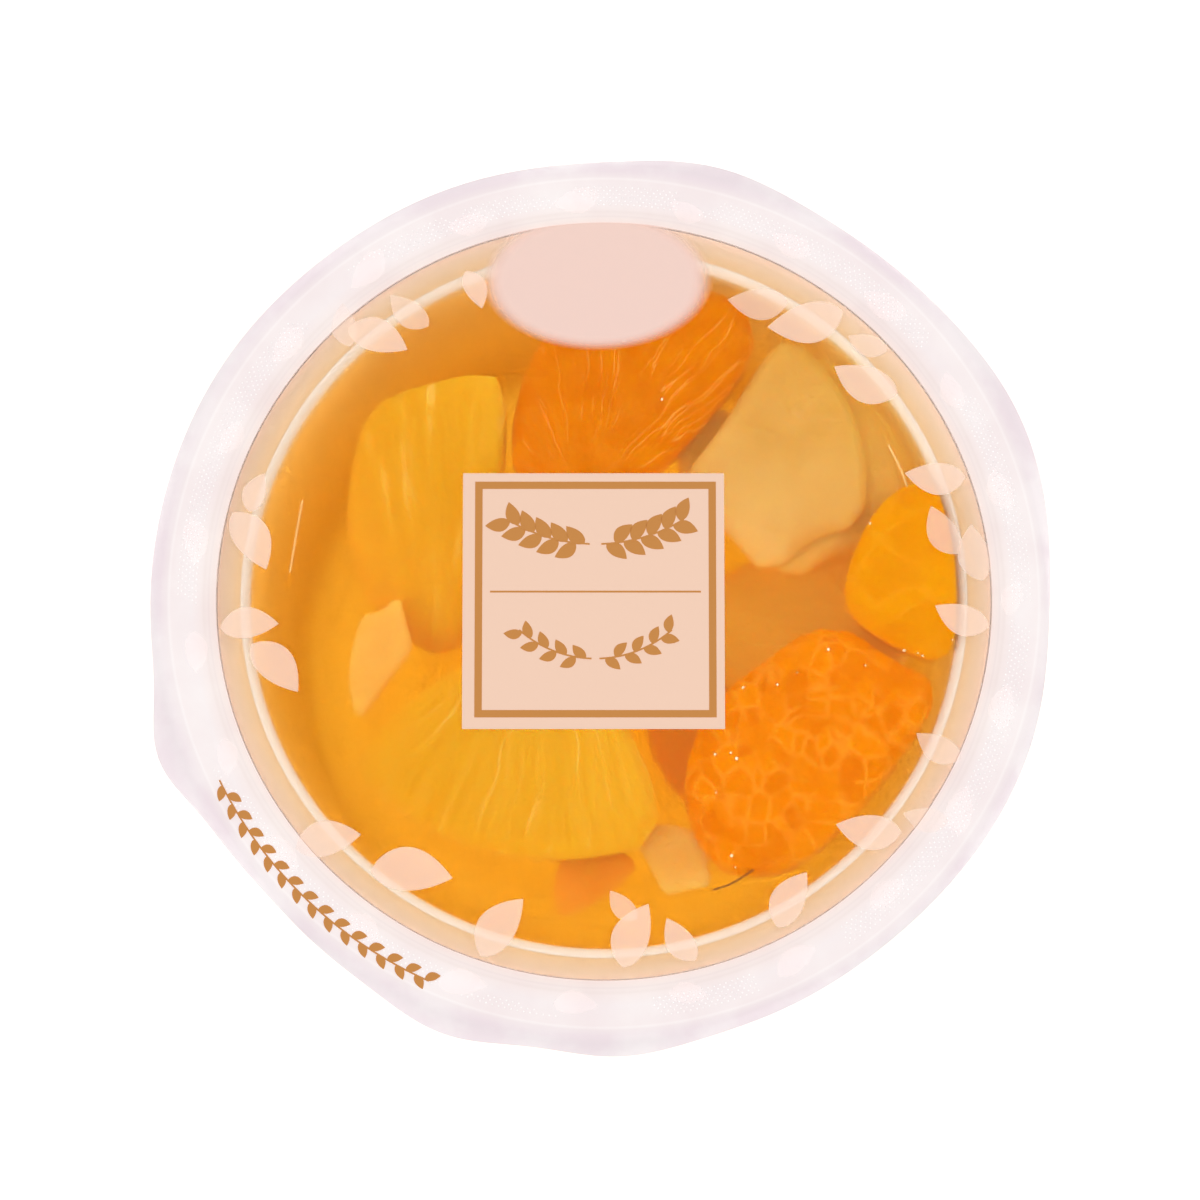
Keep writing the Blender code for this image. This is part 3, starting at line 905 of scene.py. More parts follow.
def sunk(name, source, finish, pixel, depth, turn, size, width=1.0):
    """A copy of a piece with its middle under a pixel of the photo, its top a depth below the film."""
    low, high = (Vector(corner) for corner in (source.bound_box[0], source.bound_box[6]))
    middle = (low + high) / 2
    x, y = across(*pixel)
    goal = Vector((x * MM, y * MM, RIM - depth - size * (high.z - low.z) / 2))
    place = Matrix.Translation(goal) @ Matrix.Rotation(math.radians(turn), 4, "Z")
    place = place @ Matrix.Diagonal((size * width, size, size, 1))
    mesh = source.data.copy()
    mesh.transform(place @ Matrix.Translation(-middle))
    print(name, "drawn in by", round(kept_inside(mesh) / MM, 2), "mm")
    mesh.materials.clear()
    mesh.materials.append(finish)
    piece = new_object(name, mesh)
    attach(piece, "root")


SEGMENT = MANDARINS["mandarin_right"]
SAC_SEGMENT = MANDARINS["mandarin_bottom"]
sunk("sunk_pear_behind", PEAR_SLICE, SUNK_PEAR, (822, 446), 3.5 * MM, -10, 1.06)
sunk("sunk_pear_between", PEAR_SLICE, SUNK_PEAR, (718, 455), 4 * MM, 40, 0.62)
sunk("sunk_pear_left", PEAR_SLICE, SUNK_PEAR, (378, 650), 4.5 * MM, 165, 0.52, 0.62)
sunk("sunk_pear_below", PEAR_SLICE, SUNK_PEAR, (672, 850), 4 * MM, 60, 0.38)
sunk("sunk_pear_under", PEAR_SLICE, SUNK_PEAR, (790, 630), 9 * MM, 100, 1.1)
sunk("sunk_mandarin_below", SEGMENT, SUNK_ORANGE, (590, 868), 4 * MM, -60, 0.5)
sunk("sunk_mandarin_by_label", SAC_SEGMENT, SUNK_ORANGE, (735, 690), 11.5 * MM, 60, 0.9)

# %% [markdown]
# Where the film presses on the mandarins a few tiny bubbles of air are caught, and each shows as a bright
# speck. A tree scatters points over the top of a piece, with a fixed seed, and puts a small ball on each,
# held just under the film. The ball is matt and near white: a painted glint.

# %% Tiny bubbles
BUBBLE_RADIUS = 0.24 * MM
BUBBLE_DEPTH = 0.1 * MM
BUBBLE_REACH = 1.6 * MM
SMALLEST_BUBBLE = 0.35
BUBBLES_PER_SQUARE_METRE = {"mandarin_bottom": 24000, "mandarin_top": 20000, "mandarin_right": 16000}


def bubble_tree():
    tree, given, output = new_tree("tiny bubbles", Density=float, Radius=float, Lowest=float, Highest=float,
                                   Seed=int, Finish=bpy.types.Material)
    parts = add(tree, "ShaderNodeSeparateXYZ", {0: add(tree, "GeometryNodeInputPosition")})
    high = add(tree, "FunctionNodeCompare", {0: parts.outputs[2], 1: given["Lowest"]},
               operation="GREATER_THAN")
    points = add(tree, "GeometryNodeDistributePointsOnFaces",
                 {"Mesh": given["Geometry"], "Selection": high, "Density": given["Density"],
                  "Seed": given["Seed"]})
    under = add(tree, "ShaderNodeMath", {0: parts.outputs[2], 1: given["Highest"]}, operation="MINIMUM")
    place = add(tree, "ShaderNodeCombineXYZ", {0: parts.outputs[0], 1: parts.outputs[1], 2: under})
    held = add(tree, "GeometryNodeSetPosition", {"Geometry": points, "Position": place})
    ball = add(tree, "GeometryNodeMeshIcoSphere", {"Radius": given["Radius"], "Subdivisions": 2})
    size = add(tree, "FunctionNodeRandomValue", {2: SMALLEST_BUBBLE, 3: 1.0, "Seed": given["Seed"]})
    placed = add(tree, "GeometryNodeInstanceOnPoints", {"Points": held, "Instance": ball,
                                                        "Scale": size.outputs[1]})
    finish_tree(tree, output, placed, given["Finish"])
    return tree


def make_bubbles():
    # Painted glint: a matt near-white ball in place of the bubble's highlight.
    finish = new_material("painted glint of an air bubble", Roughness=0.2, Base_Color=srgb("#FFF6DC"))[0]
    tree = bubble_tree()
    for seed, (node, density) in enumerate(BUBBLES_PER_SQUARE_METRE.items()):
        bubbles = new_object(f"{node}_bubbles", MANDARINS[node].data.copy())
        run_tree(bubbles, tree, Density=density, Radius=BUBBLE_RADIUS, Lowest=RIM - BUBBLE_REACH,
                 Highest=RIM - BUBBLE_RADIUS - BUBBLE_DEPTH, Seed=seed, Finish=finish)
        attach(bubbles, "root")
        print(bubbles.name, len(bubbles.data.polygons), "faces")


make_bubbles()

# %% [markdown]
# Loose strands of fruit fibre hang in the jelly, some dark and some pale, and one more pale strand on the
# left is a painted streak of glare. A strand is a thin round tube along a path: the tree turns a chain of
# edges into a curve and sweeps a small circle along it.

# %% Fibre strands and a painted glare streak
# name, pixels of the photo along the strand, depth below the film, radius, colour
STRANDS = (
    ("strand_dark", ((712, 886), (728, 881), (742, 873), (752, 866)), 1.2 * MM, 0.11 * MM, "#7A4A14"),
    ("strand_pale_right", ((890, 442), (897, 455), (903, 468), (909, 485)), 1.5 * MM, 0.12 * MM, "#F2CC90"),
    # A painted streak of glare, drawn as one more pale strand.
    ("strand_pale_left", ((301, 497), (297, 520), (293, 545), (289, 570)), 2.0 * MM, 0.12 * MM, "#F4C890"),
)


def strand_tree():
    tree, given, output = new_tree("fibre strand", Radius=float, Finish=bpy.types.Material)
    chain = add(tree, "GeometryNodeMeshToCurve", {"Mesh": given["Geometry"]})
    ring = add(tree, "GeometryNodeCurvePrimitiveCircle", {"Resolution": 8, "Radius": given["Radius"]})
    tube = add(tree, "GeometryNodeCurveToMesh", {"Curve": chain, "Profile Curve": ring,
                                                 "Fill Caps": True})
    finish_tree(tree, output, tube, given["Finish"])
    return tree


def make_strands():
    tree = strand_tree()
    for name, pixels, depth, radius, code in STRANDS:
        points = [(*(value * MM for value in across(x, y)), RIM - depth) for x, y in pixels]
        mesh = bpy.data.meshes.new(name)
        mesh.from_pydata(points, [(i, i + 1) for i in range(len(points) - 1)], [])
        strand = new_object(name, mesh)
        finish = new_material(f"fruit fibre {name}", Roughness=0.5, Base_Color=srgb(code))[0]
        run_tree(strand, tree, Radius=radius, Finish=finish)
        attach(strand, "root")


make_strands()

# %% [markdown]
# The film is a thin clear sheet, printed with a pale pink band outside the mouth. It is flat over the
# mouth and the flange, and past the flange it hangs in a soft, wavy skirt. Its edge is a circle with a
# few peel corners and flats: a sum of smooth bumps, each with a heading, a height and a width.

# %% The lid film
FILM = 0.12 * MM
FILM_BOTTOM = RIM + 0.03 * MM
FILM_TOP = FILM_BOTTOM + FILM
FILM_RADIUS = 53.3 * MM
FILM_STEPS = 360
FILM_DROOP = 0.5
FILM_WAVE = 0.35 * MM
FILM_WAVES = 9
FILM_SHIFT = Vector((-0.1 * MM, 0.0))
SKIRT_START = FLANGE_RADIUS + 0.3 * MM
FILM_CORNERS = ((24, 0.8, 13), (76, 1.3, 11), (200, 2.2, 7), (222, -0.5, 9), (250, 1.5, 9), (272, 1.1, 9),
                (312, -0.5, 20), (357, -0.8, 12))
WINDOW_RINGS = (15, 30, 40, 45.55)
BAND_RINGS = (45.62, 46.6, 47.8, 49.0, 50.2, 51.0)
SKIRT_SHARES = (0, 0.15, 0.3, 0.45, 0.6, 0.75, 0.9, 1.0)


def film_edge(heading):
    radius = FILM_RADIUS
    for corner, height, width in FILM_CORNERS:
        away = (heading - corner + 180) % 360 - 180
        radius += height * MM * math.exp(-((away / width) ** 2))
    return radius


def skirt_point(heading, share):
    """A point of the skirt: share 0 is the flange's edge and share 1 the film's own."""
    angle = math.radians(heading)
    outward = Vector((math.cos(angle), math.sin(angle)))
    start = outward * SKIRT_START
    edge = outward * film_edge(heading) + FILM_SHIFT
    place = start.lerp(edge, share)
    wave = FILM_WAVE * math.sin(FILM_WAVES * angle)
    drop = share * share * (FILM_DROOP * (edge - start).length + wave)
    return place.x, place.y, -drop


def film_rings(bm, level):
    rings = []
    for radius in WINDOW_RINGS + BAND_RINGS:
        ring = []
        for i in range(FILM_STEPS):
            angle = 2 * math.pi * i / FILM_STEPS
            ring.append(bm.verts.new((radius * MM * math.cos(angle), radius * MM * math.sin(angle), level)))
        rings.append(ring)
    for share in SKIRT_SHARES:
        ring = []
        for i in range(FILM_STEPS):
            x, y, z = skirt_point(360 * i / FILM_STEPS, share)
            ring.append(bm.verts.new((x, y, level + z)))
        rings.append(ring)
    return rings

# %% [markdown]
# The window is bare film, of which only the gloss shows. The band round it is printed in white ink with a
# pink cast, warmer by the mouth. Its colours run with the distance from the axis and also carry painted
# light: a paler ring is a painted highlight on the flange's rounded edge, and the film that hangs past the
# flange is darker, painted shade. A soft noise mottles them, more strongly where the film hangs, as painted
# shade of its folds.

# %% Bare film and printed film
# The stop at 0.75 is a paler ring, a painted highlight on the flange's rounded edge; the last stops darken
# the hanging skirt, painted shade.
BAND_PRINT_AND_PAINTED_LIGHT = ((0.0, "#F9E8E1"), (0.1, "#F7EAE5"), (0.12, "#F3E6E2"), (0.15, "#F7EBE7"), (0.2, "#F4E8E4"),
                (0.24, "#F8EDEA"), (0.4, "#F8F0EF"), (0.72, "#F8EFEE"), (0.75, "#FBF4F3"), (0.79, "#F5ECEC"),
                (0.9, "#F3EAEB"), (1.0, "#EEE6E7"))
BAND_END = FLANGE_RADIUS + 1.4 * MM
BAND_CLOUD = 9 * MM
HANGING = (FLANGE_RADIUS - 0.3 * MM, FLANGE_RADIUS + 0.6 * MM)


def clear_film_material():
    finish = new_material("clear lid film", Roughness=0.03, IOR=1.5, Transmission_Weight=1.0,
                          Base_Color=srgb("#FFFFFF"), Specular_Tint=srgb("#505050"))[0]
    pass_shadows(finish, "#FFFFFF")
    return finish


def band_material():
    """White ink on film with a pink cast, warmer by the mouth; painted highlight at the flange, painted
    shade past it.
    """
    finish, tree, shader = new_material("pale pink print, painted edge highlight and skirt shade", Roughness=0.45, Alpha=0.95,
                                        Specular_IOR_Level=0.3)
    place = add(tree, "ShaderNodeTexCoord").outputs["Object"]
    cloud = add(tree, "ShaderNodeTexNoise", {"Vector": place, "Scale": 1 / BAND_CLOUD, "Detail": 4.0})
    share = across_radius(tree, MOUTH_RADIUS, BAND_END)
    radial = add(tree, "ShaderNodeValToRGB", {"Fac": share}, BAND_PRINT_AND_PAINTED_LIGHT)
    mild = add(tree, "ShaderNodeValToRGB", {"Fac": cloud}, ((0.35, "#FAF6F7"), (0.65, "#FFFFFF")))
    # Where the film hangs past the flange a stronger mottle darkens it: painted shade of its folds.
    strong = add(tree, "ShaderNodeValToRGB", {"Fac": cloud}, ((0.4, "#F7F1F5"), (0.6, "#FFFFFF")))
    mottle = add(tree, "ShaderNodeMix", {"Factor": across_radius(tree, *HANGING), 6: mild, 7: strong},
                 data_type="RGBA")
    colour = add(tree, "ShaderNodeMix", {"Factor": 1.0, 6: radial, 7: mottle.outputs[2]},
                 data_type="RGBA", blend_type="MULTIPLY")
    fill(tree, shader, {"Base Color": colour.outputs[2]})
    return finish

# %% [markdown]
# An upper and a lower set of rings are joined at the film's edge, so the sheet is closed. The faces
# within the window's rings get the bare film, and all others the printed one.

# %% The film, put together
def make_film():
    bm = bmesh.new()
    lower = film_rings(bm, FILM_BOTTOM)
    upper = film_rings(bm, FILM_TOP)
    lower.insert(0, [bm.verts.new((0, 0, FILM_BOTTOM))])
    upper.insert(0, [bm.verts.new((0, 0, FILM_TOP))])
    for rings in (lower, upper):
        for number, (inner, outer) in enumerate(zip(rings, rings[1:])):
            for face in bridge(bm, inner, outer):
                face.material_index = int(number >= len(WINDOW_RINGS))
    for face in bridge(bm, lower[-1], upper[-1]):
        face.material_index = 1
    film = mesh_object("printed_lid_film", bm, clear_film_material(), band_material())
    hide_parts("lid_film")
    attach(film, "root")


make_film()

# %% [markdown]
# Print on the film is a layer of ink only a few microns thick. It is drawn here as flat plates 0.02 mm
# thick, one above the other, so that its edges stay crisp at any size.

# %% Printed plates
INK = 0.02 * MM
INK_GAP = 0.5 * INK


def ink(name, code, alpha=1.0):
    """Matt ink of one colour; under 1 its alpha lets some of the film's window through."""
    finish = new_material(name, Roughness=0.5, Alpha=alpha, Base_Color=srgb(code))[0]
    pass_shadows(finish, "#FFFFFF")
    return finish


def print_layer(number):
    """The height of the underside of a layer of ink."""
    return FILM_TOP + INK_GAP + number * (INK + INK_GAP)


def on_film(piece):
    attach(piece, "root")


def printed(name, outline, layer, finish, hole=None):
    """A flat plate of ink with an outline of (x, y) points in metres, round a hole if one is given."""
    bm = bmesh.new()
    bottom = print_layer(layer)
    loops = []
    for points in (outline, hole or []):
        loops.append([[bm.verts.new((x, y, level)) for x, y in points] for level in (bottom, bottom + INK)])
    (lower, upper), (hole_lower, hole_upper) = loops
    bridge(bm, lower, upper)
    if hole:
        bridge(bm, hole_lower, hole_upper)
        bridge(bm, lower, hole_lower)
        bridge(bm, upper, hole_upper)
    else:
        bm.faces.new(lower)
        bm.faces.new(upper)
    on_film(mesh_object(name, bm, finish))


def rectangle(centre, width, height):
    return [(centre[0] + sx * width / 2, centre[1] + sy * height / 2)
            for sx, sy in ((-1, -1), (1, -1), (1, 1), (-1, 1))]


def ellipse(centre, half_width, half_height, count=96):
    turns = [2 * math.pi * i / count for i in range(count)]
    return [(centre[0] + half_width * math.cos(t), centre[1] + half_height * math.sin(t)) for t in turns]

# %% [markdown]
# The panel in the middle is a plain pink square with a gold frame and a thin gold rule. Round the window
# runs a fine brown line, where the printed band ends: a painted shadow of the band's edge on the jelly,
# drawn as a part-clear ring of ink.

# %% Panel, frame and a painted edge shadow
PANEL_CENTRE = (-1.23 * MM, -0.42 * MM)
PANEL_SIZE = 30.8 * MM
FRAME_CENTRE = (-1.0 * MM, -0.24 * MM)
FRAME_SIZE = 28.4 * MM
FRAME_BAR = 0.88 * MM
RULE_LENGTH = 24.8 * MM
RULE_WIDTH = 0.22 * MM
RULE_Y = 0.66 * MM
EDGE_LINE_INNER = MOUTH_RADIUS - 0.05 * MM
EDGE_LINE_OUTER = MOUTH_RADIUS + 0.03 * MM
GOLD = ink("metallic gold ink", "#C0803A")
PALE_PINK = ink("opaque pale pink ink", "#EBC7B0")
# Painted shadow of the band's edge on the jelly, as a thin part-clear ring.
BAND_EDGE_SHADOW_INK = ink("painted shadow at the printed band's edge", "#C6AC9A", 0.45)
printed("label_panel", rectangle(PANEL_CENTRE, PANEL_SIZE, PANEL_SIZE), 1, PALE_PINK)
printed("label_gold_frame", rectangle(FRAME_CENTRE, FRAME_SIZE, FRAME_SIZE), 2, GOLD,
        hole=rectangle(FRAME_CENTRE, FRAME_SIZE - 2 * FRAME_BAR, FRAME_SIZE - 2 * FRAME_BAR))
printed("label_gold_rule", rectangle((FRAME_CENTRE[0], RULE_Y), RULE_LENGTH, RULE_WIDTH), 2, GOLD)
printed("print_edge_line", ellipse((0, 0), EDGE_LINE_OUTER, EDGE_LINE_OUTER, FILM_STEPS), 1, BAND_EDGE_SHADOW_INK,
        hole=ellipse((0, 0), EDGE_LINE_INNER, EDGE_LINE_INNER, FILM_STEPS))

# %% [markdown]
# Above the panel is a pale oval whose edge is faded, as an airbrushed or screened print is: full ink in
# the middle, none at the rim. Its alpha is worked out from the place itself, measured in half-axes from
# the oval's centre, so it needs no picture.

# %% The faded oval
OVAL_CENTRE = (-0.8 * MM, 38.6 * MM)
OVAL_HALF_WIDTH = 12.9 * MM
OVAL_HALF_HEIGHT = 8.1 * MM
OVAL_FADE = (0.86, 1.08)
OVAL_ALPHA = 0.93
OVAL_REACH = MOUTH_RADIUS + 0.1 * MM


def faded_ink():
    finish, tree, shader = new_material("faded pale pink ink", Roughness=0.5, Base_Color=srgb("#EACCC1"))
    place = add(tree, "ShaderNodeTexCoord").outputs["Object"]
    centre = (OVAL_CENTRE[0], OVAL_CENTRE[1], 0)
    away = add(tree, "ShaderNodeVectorMath", {0: place, 1: centre}, operation="SUBTRACT")
    in_halves = (1 / OVAL_HALF_WIDTH, 1 / OVAL_HALF_HEIGHT, 0)
    scaled = add(tree, "ShaderNodeVectorMath", {0: away, 1: in_halves}, operation="MULTIPLY")
    share = add(tree, "ShaderNodeVectorMath", {0: scaled}, operation="LENGTH").outputs["Value"]
    alpha = add(tree, "ShaderNodeMapRange",
                {"Value": share, "From Min": OVAL_FADE[0], "From Max": OVAL_FADE[1],
                 "To Min": OVAL_ALPHA, "To Max": 0.0}, interpolation_type="SMOOTHSTEP")
    fill(tree, shader, {"Alpha": alpha})
    pass_shadows(finish, "#FFFFFF")
    return finish


def faded_oval():
    """The oval's plate: its upper part stops where the printed band begins."""
    points = []
    for x, y in ellipse(OVAL_CENTRE, OVAL_HALF_WIDTH * OVAL_FADE[1], OVAL_HALF_HEIGHT * OVAL_FADE[1]):
        held = min(1, OVAL_REACH / math.hypot(x, y))
        points.append((x * held, y * held))
    printed("faded_oval", points, 2, faded_ink())


faded_oval()

# %% [markdown]
# The wreath of leaves is printed in thin white ink, some leaves stronger and some fainter. One leaf
# outline is made once, and a Geometry Nodes tree places a copy of it on each point, turned and sized by
# the point's own values.

# %% One leaf, and a tree that places it
LEAF_WIDTH = 0.54
LEAF_TIP = 1.0
LEAF_BASE = 0.75
LEAF_ARCH = 0.06
LEAF_STEPS = 16


def leaf_mesh():
    """A leaf of length 1, its tip at the origin and its stalk at -X: full near the stalk, then pointed."""
    middle = LEAF_TIP / (LEAF_TIP + LEAF_BASE)
    widest = middle ** LEAF_TIP * (1 - middle) ** LEAF_BASE
    rows = []
    for i in range(LEAF_STEPS + 1):
        t = i / LEAF_STEPS
        half = LEAF_WIDTH / 2 * t ** LEAF_TIP * (1 - t) ** LEAF_BASE / widest
        rows.append((-t, LEAF_ARCH * 4 * t * (1 - t), half))
    outline = [(x, arch + half) for x, arch, half in rows]
    outline += [(x, arch - half) for x, arch, half in rows[-2:0:-1]]
    bm = bmesh.new()
    lower = [bm.verts.new((x, y, 0)) for x, y in outline]
    top = [bm.verts.new((x, y, 1)) for x, y in outline]
    bridge(bm, lower, top)
    bm.faces.new(lower)
    bm.faces.new(top)
    return mesh_object("leaf_outline", bm)


def leaf_tree():
    tree, given, output = new_tree("placed leaves", Leaf=bpy.types.Object, Ink=float,
                                   Finish=bpy.types.Material)
    heading = add(tree, "GeometryNodeInputNamedAttribute", {"Name": "heading"}, data_type="FLOAT")
    length = add(tree, "GeometryNodeInputNamedAttribute", {"Name": "length"}, data_type="FLOAT")
    turn = add(tree, "ShaderNodeCombineXYZ", {2: heading})
    size = add(tree, "ShaderNodeCombineXYZ", {0: length, 1: length, 2: given["Ink"]})
    leaf = add(tree, "GeometryNodeObjectInfo", {"Object": given["Leaf"]})
    placed = add(tree, "GeometryNodeInstanceOnPoints",
                 {"Points": given["Geometry"], "Instance": leaf.outputs["Geometry"], "Rotation": turn,
                  "Scale": size})
    finish_tree(tree, output, placed, given["Finish"])
    return tree


LEAF = leaf_mesh()
LEAF_TREE = leaf_tree()


def place_leaves(name, rows, layer, finish):
    """One printed leaf for each (x, y, heading, length): millimetres and degrees."""
    mesh = bpy.data.meshes.new(name)
    mesh.from_pydata([(x * MM, y * MM, print_layer(layer)) for x, y, heading, length in rows], [], [])
    for label, column, factor in (("heading", 2, math.pi / 180), ("length", 3, MM)):
        values = mesh.attributes.new(label, "FLOAT", "POINT")
        values.data.foreach_set("value", [row[column] * factor for row in rows])
    leaves = new_object(name, mesh)
    run_tree(leaves, LEAF_TREE, Leaf=LEAF, Ink=INK, Finish=finish)
    print(name, len(rows), "leaves")
    on_film(leaves)

# %% [markdown]
# Each leaf of the wreath over the window has a place, a turn and a length of its own. Over the white band
# the same ink hardly shows, so its alpha drops there. The leaves on the band are all alike, and a loop
# sets them.

# %% The wreath
# tip as a pixel of the photo, heading from stalk to tip in degrees, length in millimetres
STRONG_LEAVES = (
    (406, 348, -20, 7.6), (481, 306, -67, 5.0), (263, 473, 70, 5.0), (266, 570, -60, 8.0),
    (279, 624, 4, 6.9), (299, 692, -46, 8.0), (363, 833, 12, 7.8), (454, 876, -6, 9.6),
    (524, 896, 54, 8.4), (648, 901, 68, 8.1), (666, 915, 124, 6.0), (805, 870, 62, 7.4),
    (834, 823, 173, 7.7), (935, 606, 158, 6.8), (906, 473, 176, 7.2), (836, 365, 156, 8.2),
    (769, 325, 192, 9.2),
)
FAINT_LEAVES = (
    (729, 297, 178, 7.2), (388, 292, 140, 6.0), (850, 334, 160, 5.0), (932, 506, 118, 6.6),
    (972, 524, 100, 7.0), (915, 733, 150, 6.0), (901, 812, 170, 5.4), (610, 888, 132, 4.6),
    (340, 300, 100, 5.5),
)
BAND_SHARE = 0.2
BAND_BLEND = 0.05 * MM
BAND_LEAVES = 23
BAND_LEAF_RADII = (48.2, 49.0)
BAND_LEAF_TURNS = (70, 110)
BAND_LEAF_LENGTHS = (4.5, 6.0)
GOLDEN_SHARE = 0.618


def leaf_ink(name, code, alpha):
    """Thin white ink: it shows over the clear window and hardly over the white band."""
    finish, tree, shader = new_material(name, Roughness=0.5, Base_Color=srgb(code))
    outside = across_radius(tree, MOUTH_RADIUS - BAND_BLEND, MOUTH_RADIUS + BAND_BLEND)
    thinner = {"Value": outside, "To Min": alpha, "To Max": alpha * BAND_SHARE}
    fill(tree, shader, {"Alpha": add(tree, "ShaderNodeMapRange", thinner)})
    pass_shadows(finish, "#FFFFFF")
    return finish


def wreath_rows(leaves):
    return [(*across(tip_x, tip_y), heading, length) for tip_x, tip_y, heading, length in leaves]


def between(pair, share):
    return pair[0] + (pair[1] - pair[0]) * share


def band_leaf_rows():
    """Leaves over the band, spread evenly round it and turned by steps that never repeat."""
    rows = []
    for i in range(BAND_LEAVES):
        share = i * GOLDEN_SHARE % 1
        heading = 360 * i / BAND_LEAVES
        radius = between(BAND_LEAF_RADII, share)
        along = math.radians(heading + between(BAND_LEAF_TURNS, share))
        length = between(BAND_LEAF_LENGTHS, share)
        x = radius * math.cos(math.radians(heading)) + length / 2 * math.cos(along)
        y = radius * math.sin(math.radians(heading)) + length / 2 * math.sin(along)
        rows.append((x, y, math.degrees(along), length))
    return rows


place_leaves("leaves_band", band_leaf_rows(), 0, ink("white ink on the band", "#F8EEED", 0.08))
place_leaves("leaves_faint", wreath_rows(FAINT_LEAVES), 0, leaf_ink("thinnest white ink", "#FAE0D0", 0.28))
place_leaves("leaves_strong", wreath_rows(STRONG_LEAVES), 1, leaf_ink("thin white ink", "#F8DCCA", 0.42))

# %% [markdown]
# Gold sprigs fill the panel and run along the straight side of the lid: a thin stem with leaves set left
# and right of it in turn. A sprig follows any path, given as a function from a share of its length to a
# place and a heading.

# %% Gold sprigs
STEM_WIDTH = 0.2
STEM_STEPS = 48


def sprig(name, path, count, leaf_length, angle, layer=2):
    """Leaves along a path, alternately on either side of a stem."""
    rows = []
    for i in range(count):
        x, y, heading = path((i + 0.5) / count)
        turn = heading + (angle if i % 2 else -angle)
        out = math.radians(turn)
        reach = leaf_length + STEM_WIDTH / 2
        rows.append((x + reach * math.cos(out), y + reach * math.sin(out), turn, leaf_length))
    place_leaves(name, rows, layer, GOLD)
    left = []
    right = []
    for i in range(STEM_STEPS + 1):
        x, y, heading = path(i / STEM_STEPS)
        across_x = math.cos(math.radians(heading + 90)) * STEM_WIDTH / 2
        across_y = math.sin(math.radians(heading + 90)) * STEM_WIDTH / 2
        left.append(((x + across_x) * MM, (y + across_y) * MM))
        right.append(((x - across_x) * MM, (y - across_y) * MM))
    printed(name + "_stem", right + left[::-1], layer + 1, GOLD)


def arc_path(centre, radius, start, end):
    """A path along an arc, in millimetres and degrees; it turns the way from start to end."""
    def at(share):
        degrees = start + (end - start) * share
        angle = math.radians(degrees)
        turn = 90 if end > start else -90
        return (centre[0] + radius * math.cos(angle), centre[1] + radius * math.sin(angle), degrees + turn)
    return at


sprig("sprig_flange", arc_path((0, 0), 50.0, 206, 246), 28, 1.9, 35)
sprig("sprig_upper_left", arc_path((-1.0, 26.0), 19.6, 268, 238), 10, 3.0, 40)
sprig("sprig_upper_right", arc_path((-1.0, 26.0), 19.6, 272, 302), 10, 3.0, 40)
sprig("sprig_lower_left", arc_path((-1.0, 6.0), 13.4, 268, 228), 8, 2.2, 40)
sprig("sprig_lower_right", arc_path((-1.0, 6.0), 13.4, 272, 312), 8, 2.2, 40)
bpy.data.objects.remove(LEAF)

# %% [markdown]
# The film is sealed to the flange by a hot ring with a fine knurl, which leaves rows of tiny dots where
# it pressed hardest, so a noise picks the patches that show them. Each row is a circle of points, so a
# grid whose columns become headings and whose rows become radii makes them all, and one low pip sits on
# each point. The real pitch is about 0.6 mm; it is drawn a little coarser, so that it shows.

# %% Heat-seal knurl
KNURL_ROWS = 6
KNURL_COLUMNS = 420
KNURL_INNER = 48.0 * MM
KNURL_PITCH = 0.42 * MM
PIP_RADIUS = 0.1 * MM
PIP_TOP = 0.35
PIP_HEIGHT = 0.5
KNURL_PATCH = 16 * MM
KNURL_COVER = 0.48


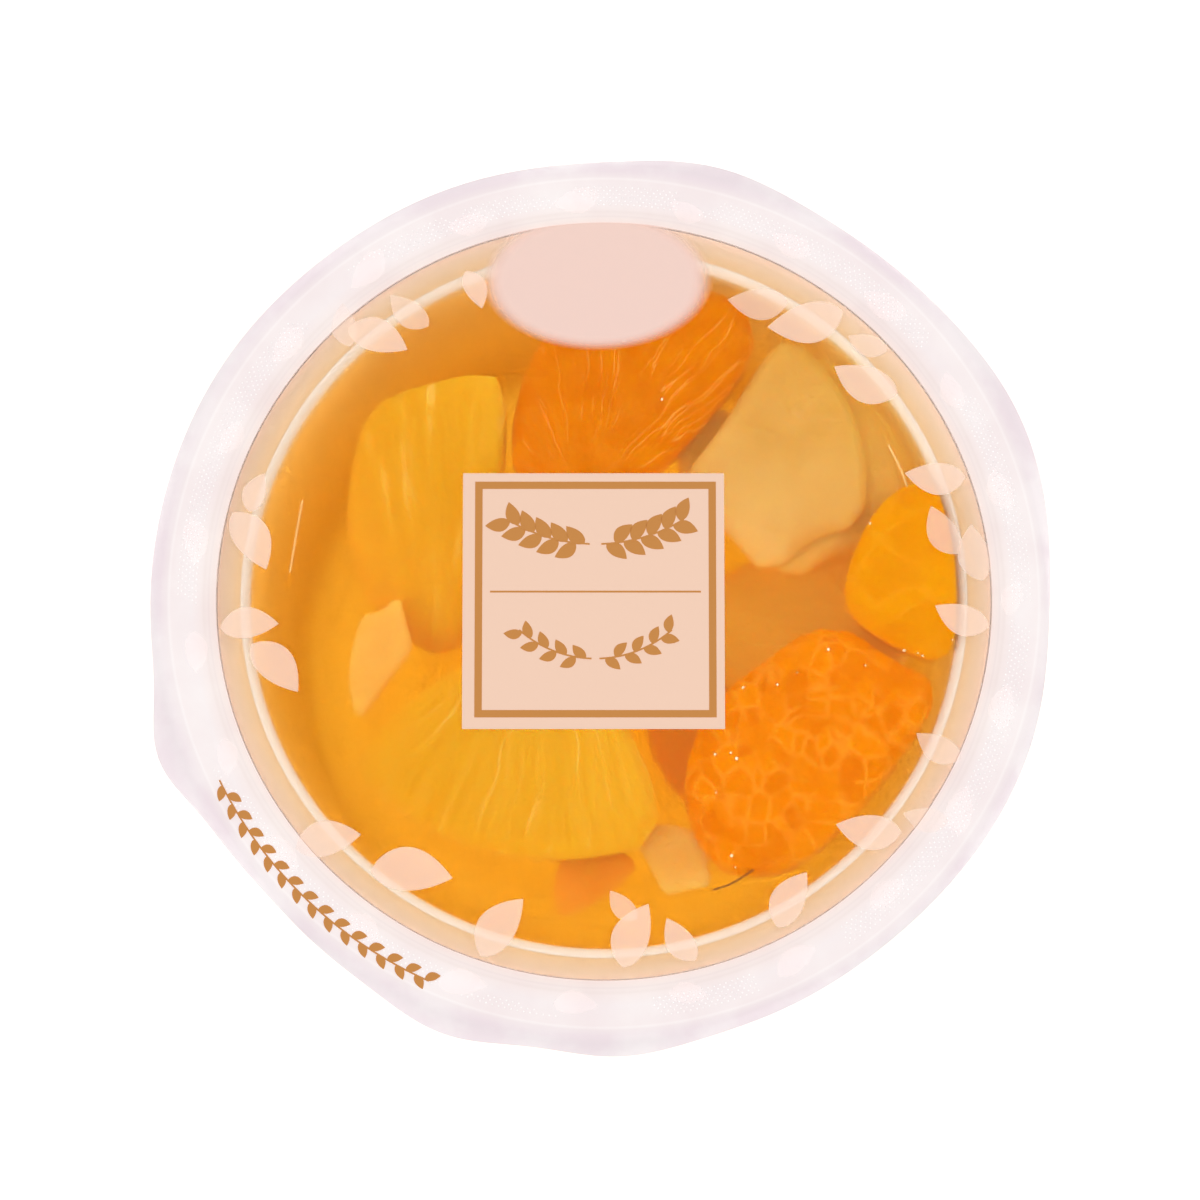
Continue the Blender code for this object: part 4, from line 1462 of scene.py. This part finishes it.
def knurl_tree():
    tree, given, output = new_tree("knurled seal", Rows=int, Columns=int, Inner_radius=float, Pitch=float,
                                   Pip=float, Level=float, Finish=bpy.types.Material)
    grid = add(tree, "GeometryNodeMeshGrid", {"Size X": 1.0, "Size Y": 1.0, "Vertices X": given["Columns"],
                                              "Vertices Y": given["Rows"]})
    index = add(tree, "GeometryNodeInputIndex")
    column = add(tree, "ShaderNodeMath", {0: index, 1: given["Rows"]}, operation="DIVIDE")
    column = add(tree, "ShaderNodeMath", {0: column}, operation="FLOOR")
    row = add(tree, "ShaderNodeMath", {0: index, 1: given["Rows"]}, operation="MODULO")
    half = add(tree, "ShaderNodeMath", {0: row, 1: 0.5, 2: column}, operation="MULTIPLY_ADD")
    step = add(tree, "ShaderNodeMath", {0: 2 * math.pi, 1: given["Columns"]}, operation="DIVIDE")
    angle = add(tree, "ShaderNodeMath", {0: half, 1: step}, operation="MULTIPLY")
    radius = add(tree, "ShaderNodeMath", {0: row, 1: given["Pitch"], 2: given["Inner radius"]},
                 operation="MULTIPLY_ADD")
    cosine = add(tree, "ShaderNodeMath", {0: angle}, operation="COSINE")
    sine = add(tree, "ShaderNodeMath", {0: angle}, operation="SINE")
    x = add(tree, "ShaderNodeMath", {0: cosine, 1: radius}, operation="MULTIPLY")
    y = add(tree, "ShaderNodeMath", {0: sine, 1: radius}, operation="MULTIPLY")
    place = add(tree, "ShaderNodeCombineXYZ", {0: x, 1: y, 2: given["Level"]})
    moved = add(tree, "GeometryNodeSetPosition", {"Geometry": grid, "Position": place})
    pip = add(tree, "GeometryNodeMeshCone", {"Vertices": 6, "Radius Top": PIP_TOP, "Radius Bottom": 1.0,
                                             "Depth": PIP_HEIGHT})
    patches = add(tree, "ShaderNodeTexNoise", {"Vector": place, "Scale": 1 / KNURL_PATCH, "Detail": 1.0})
    pressed = add(tree, "FunctionNodeCompare", {0: patches, 1: KNURL_COVER}, operation="GREATER_THAN")
    placed = add(tree, "GeometryNodeInstanceOnPoints", {"Points": moved, "Instance": pip,
                                                        "Selection": pressed, "Scale": given["Pip"]})
    finish_tree(tree, output, placed, given["Finish"])
    return tree


def make_knurl():
    knurl = new_object("knurled_seal", bpy.data.meshes.new("knurled_seal"))
    finish = new_material("pressed film pips", Roughness=0.35, Base_Color=srgb("#FCF6F5"))[0]
    run_tree(knurl, knurl_tree(), Rows=KNURL_ROWS, Columns=KNURL_COLUMNS, Inner_radius=KNURL_INNER,
             Pitch=KNURL_PITCH, Pip=PIP_RADIUS, Level=FILM_TOP, Finish=finish)
    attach(knurl, "root")
    print("knurl faces", len(knurl.data.polygons))


make_knurl()
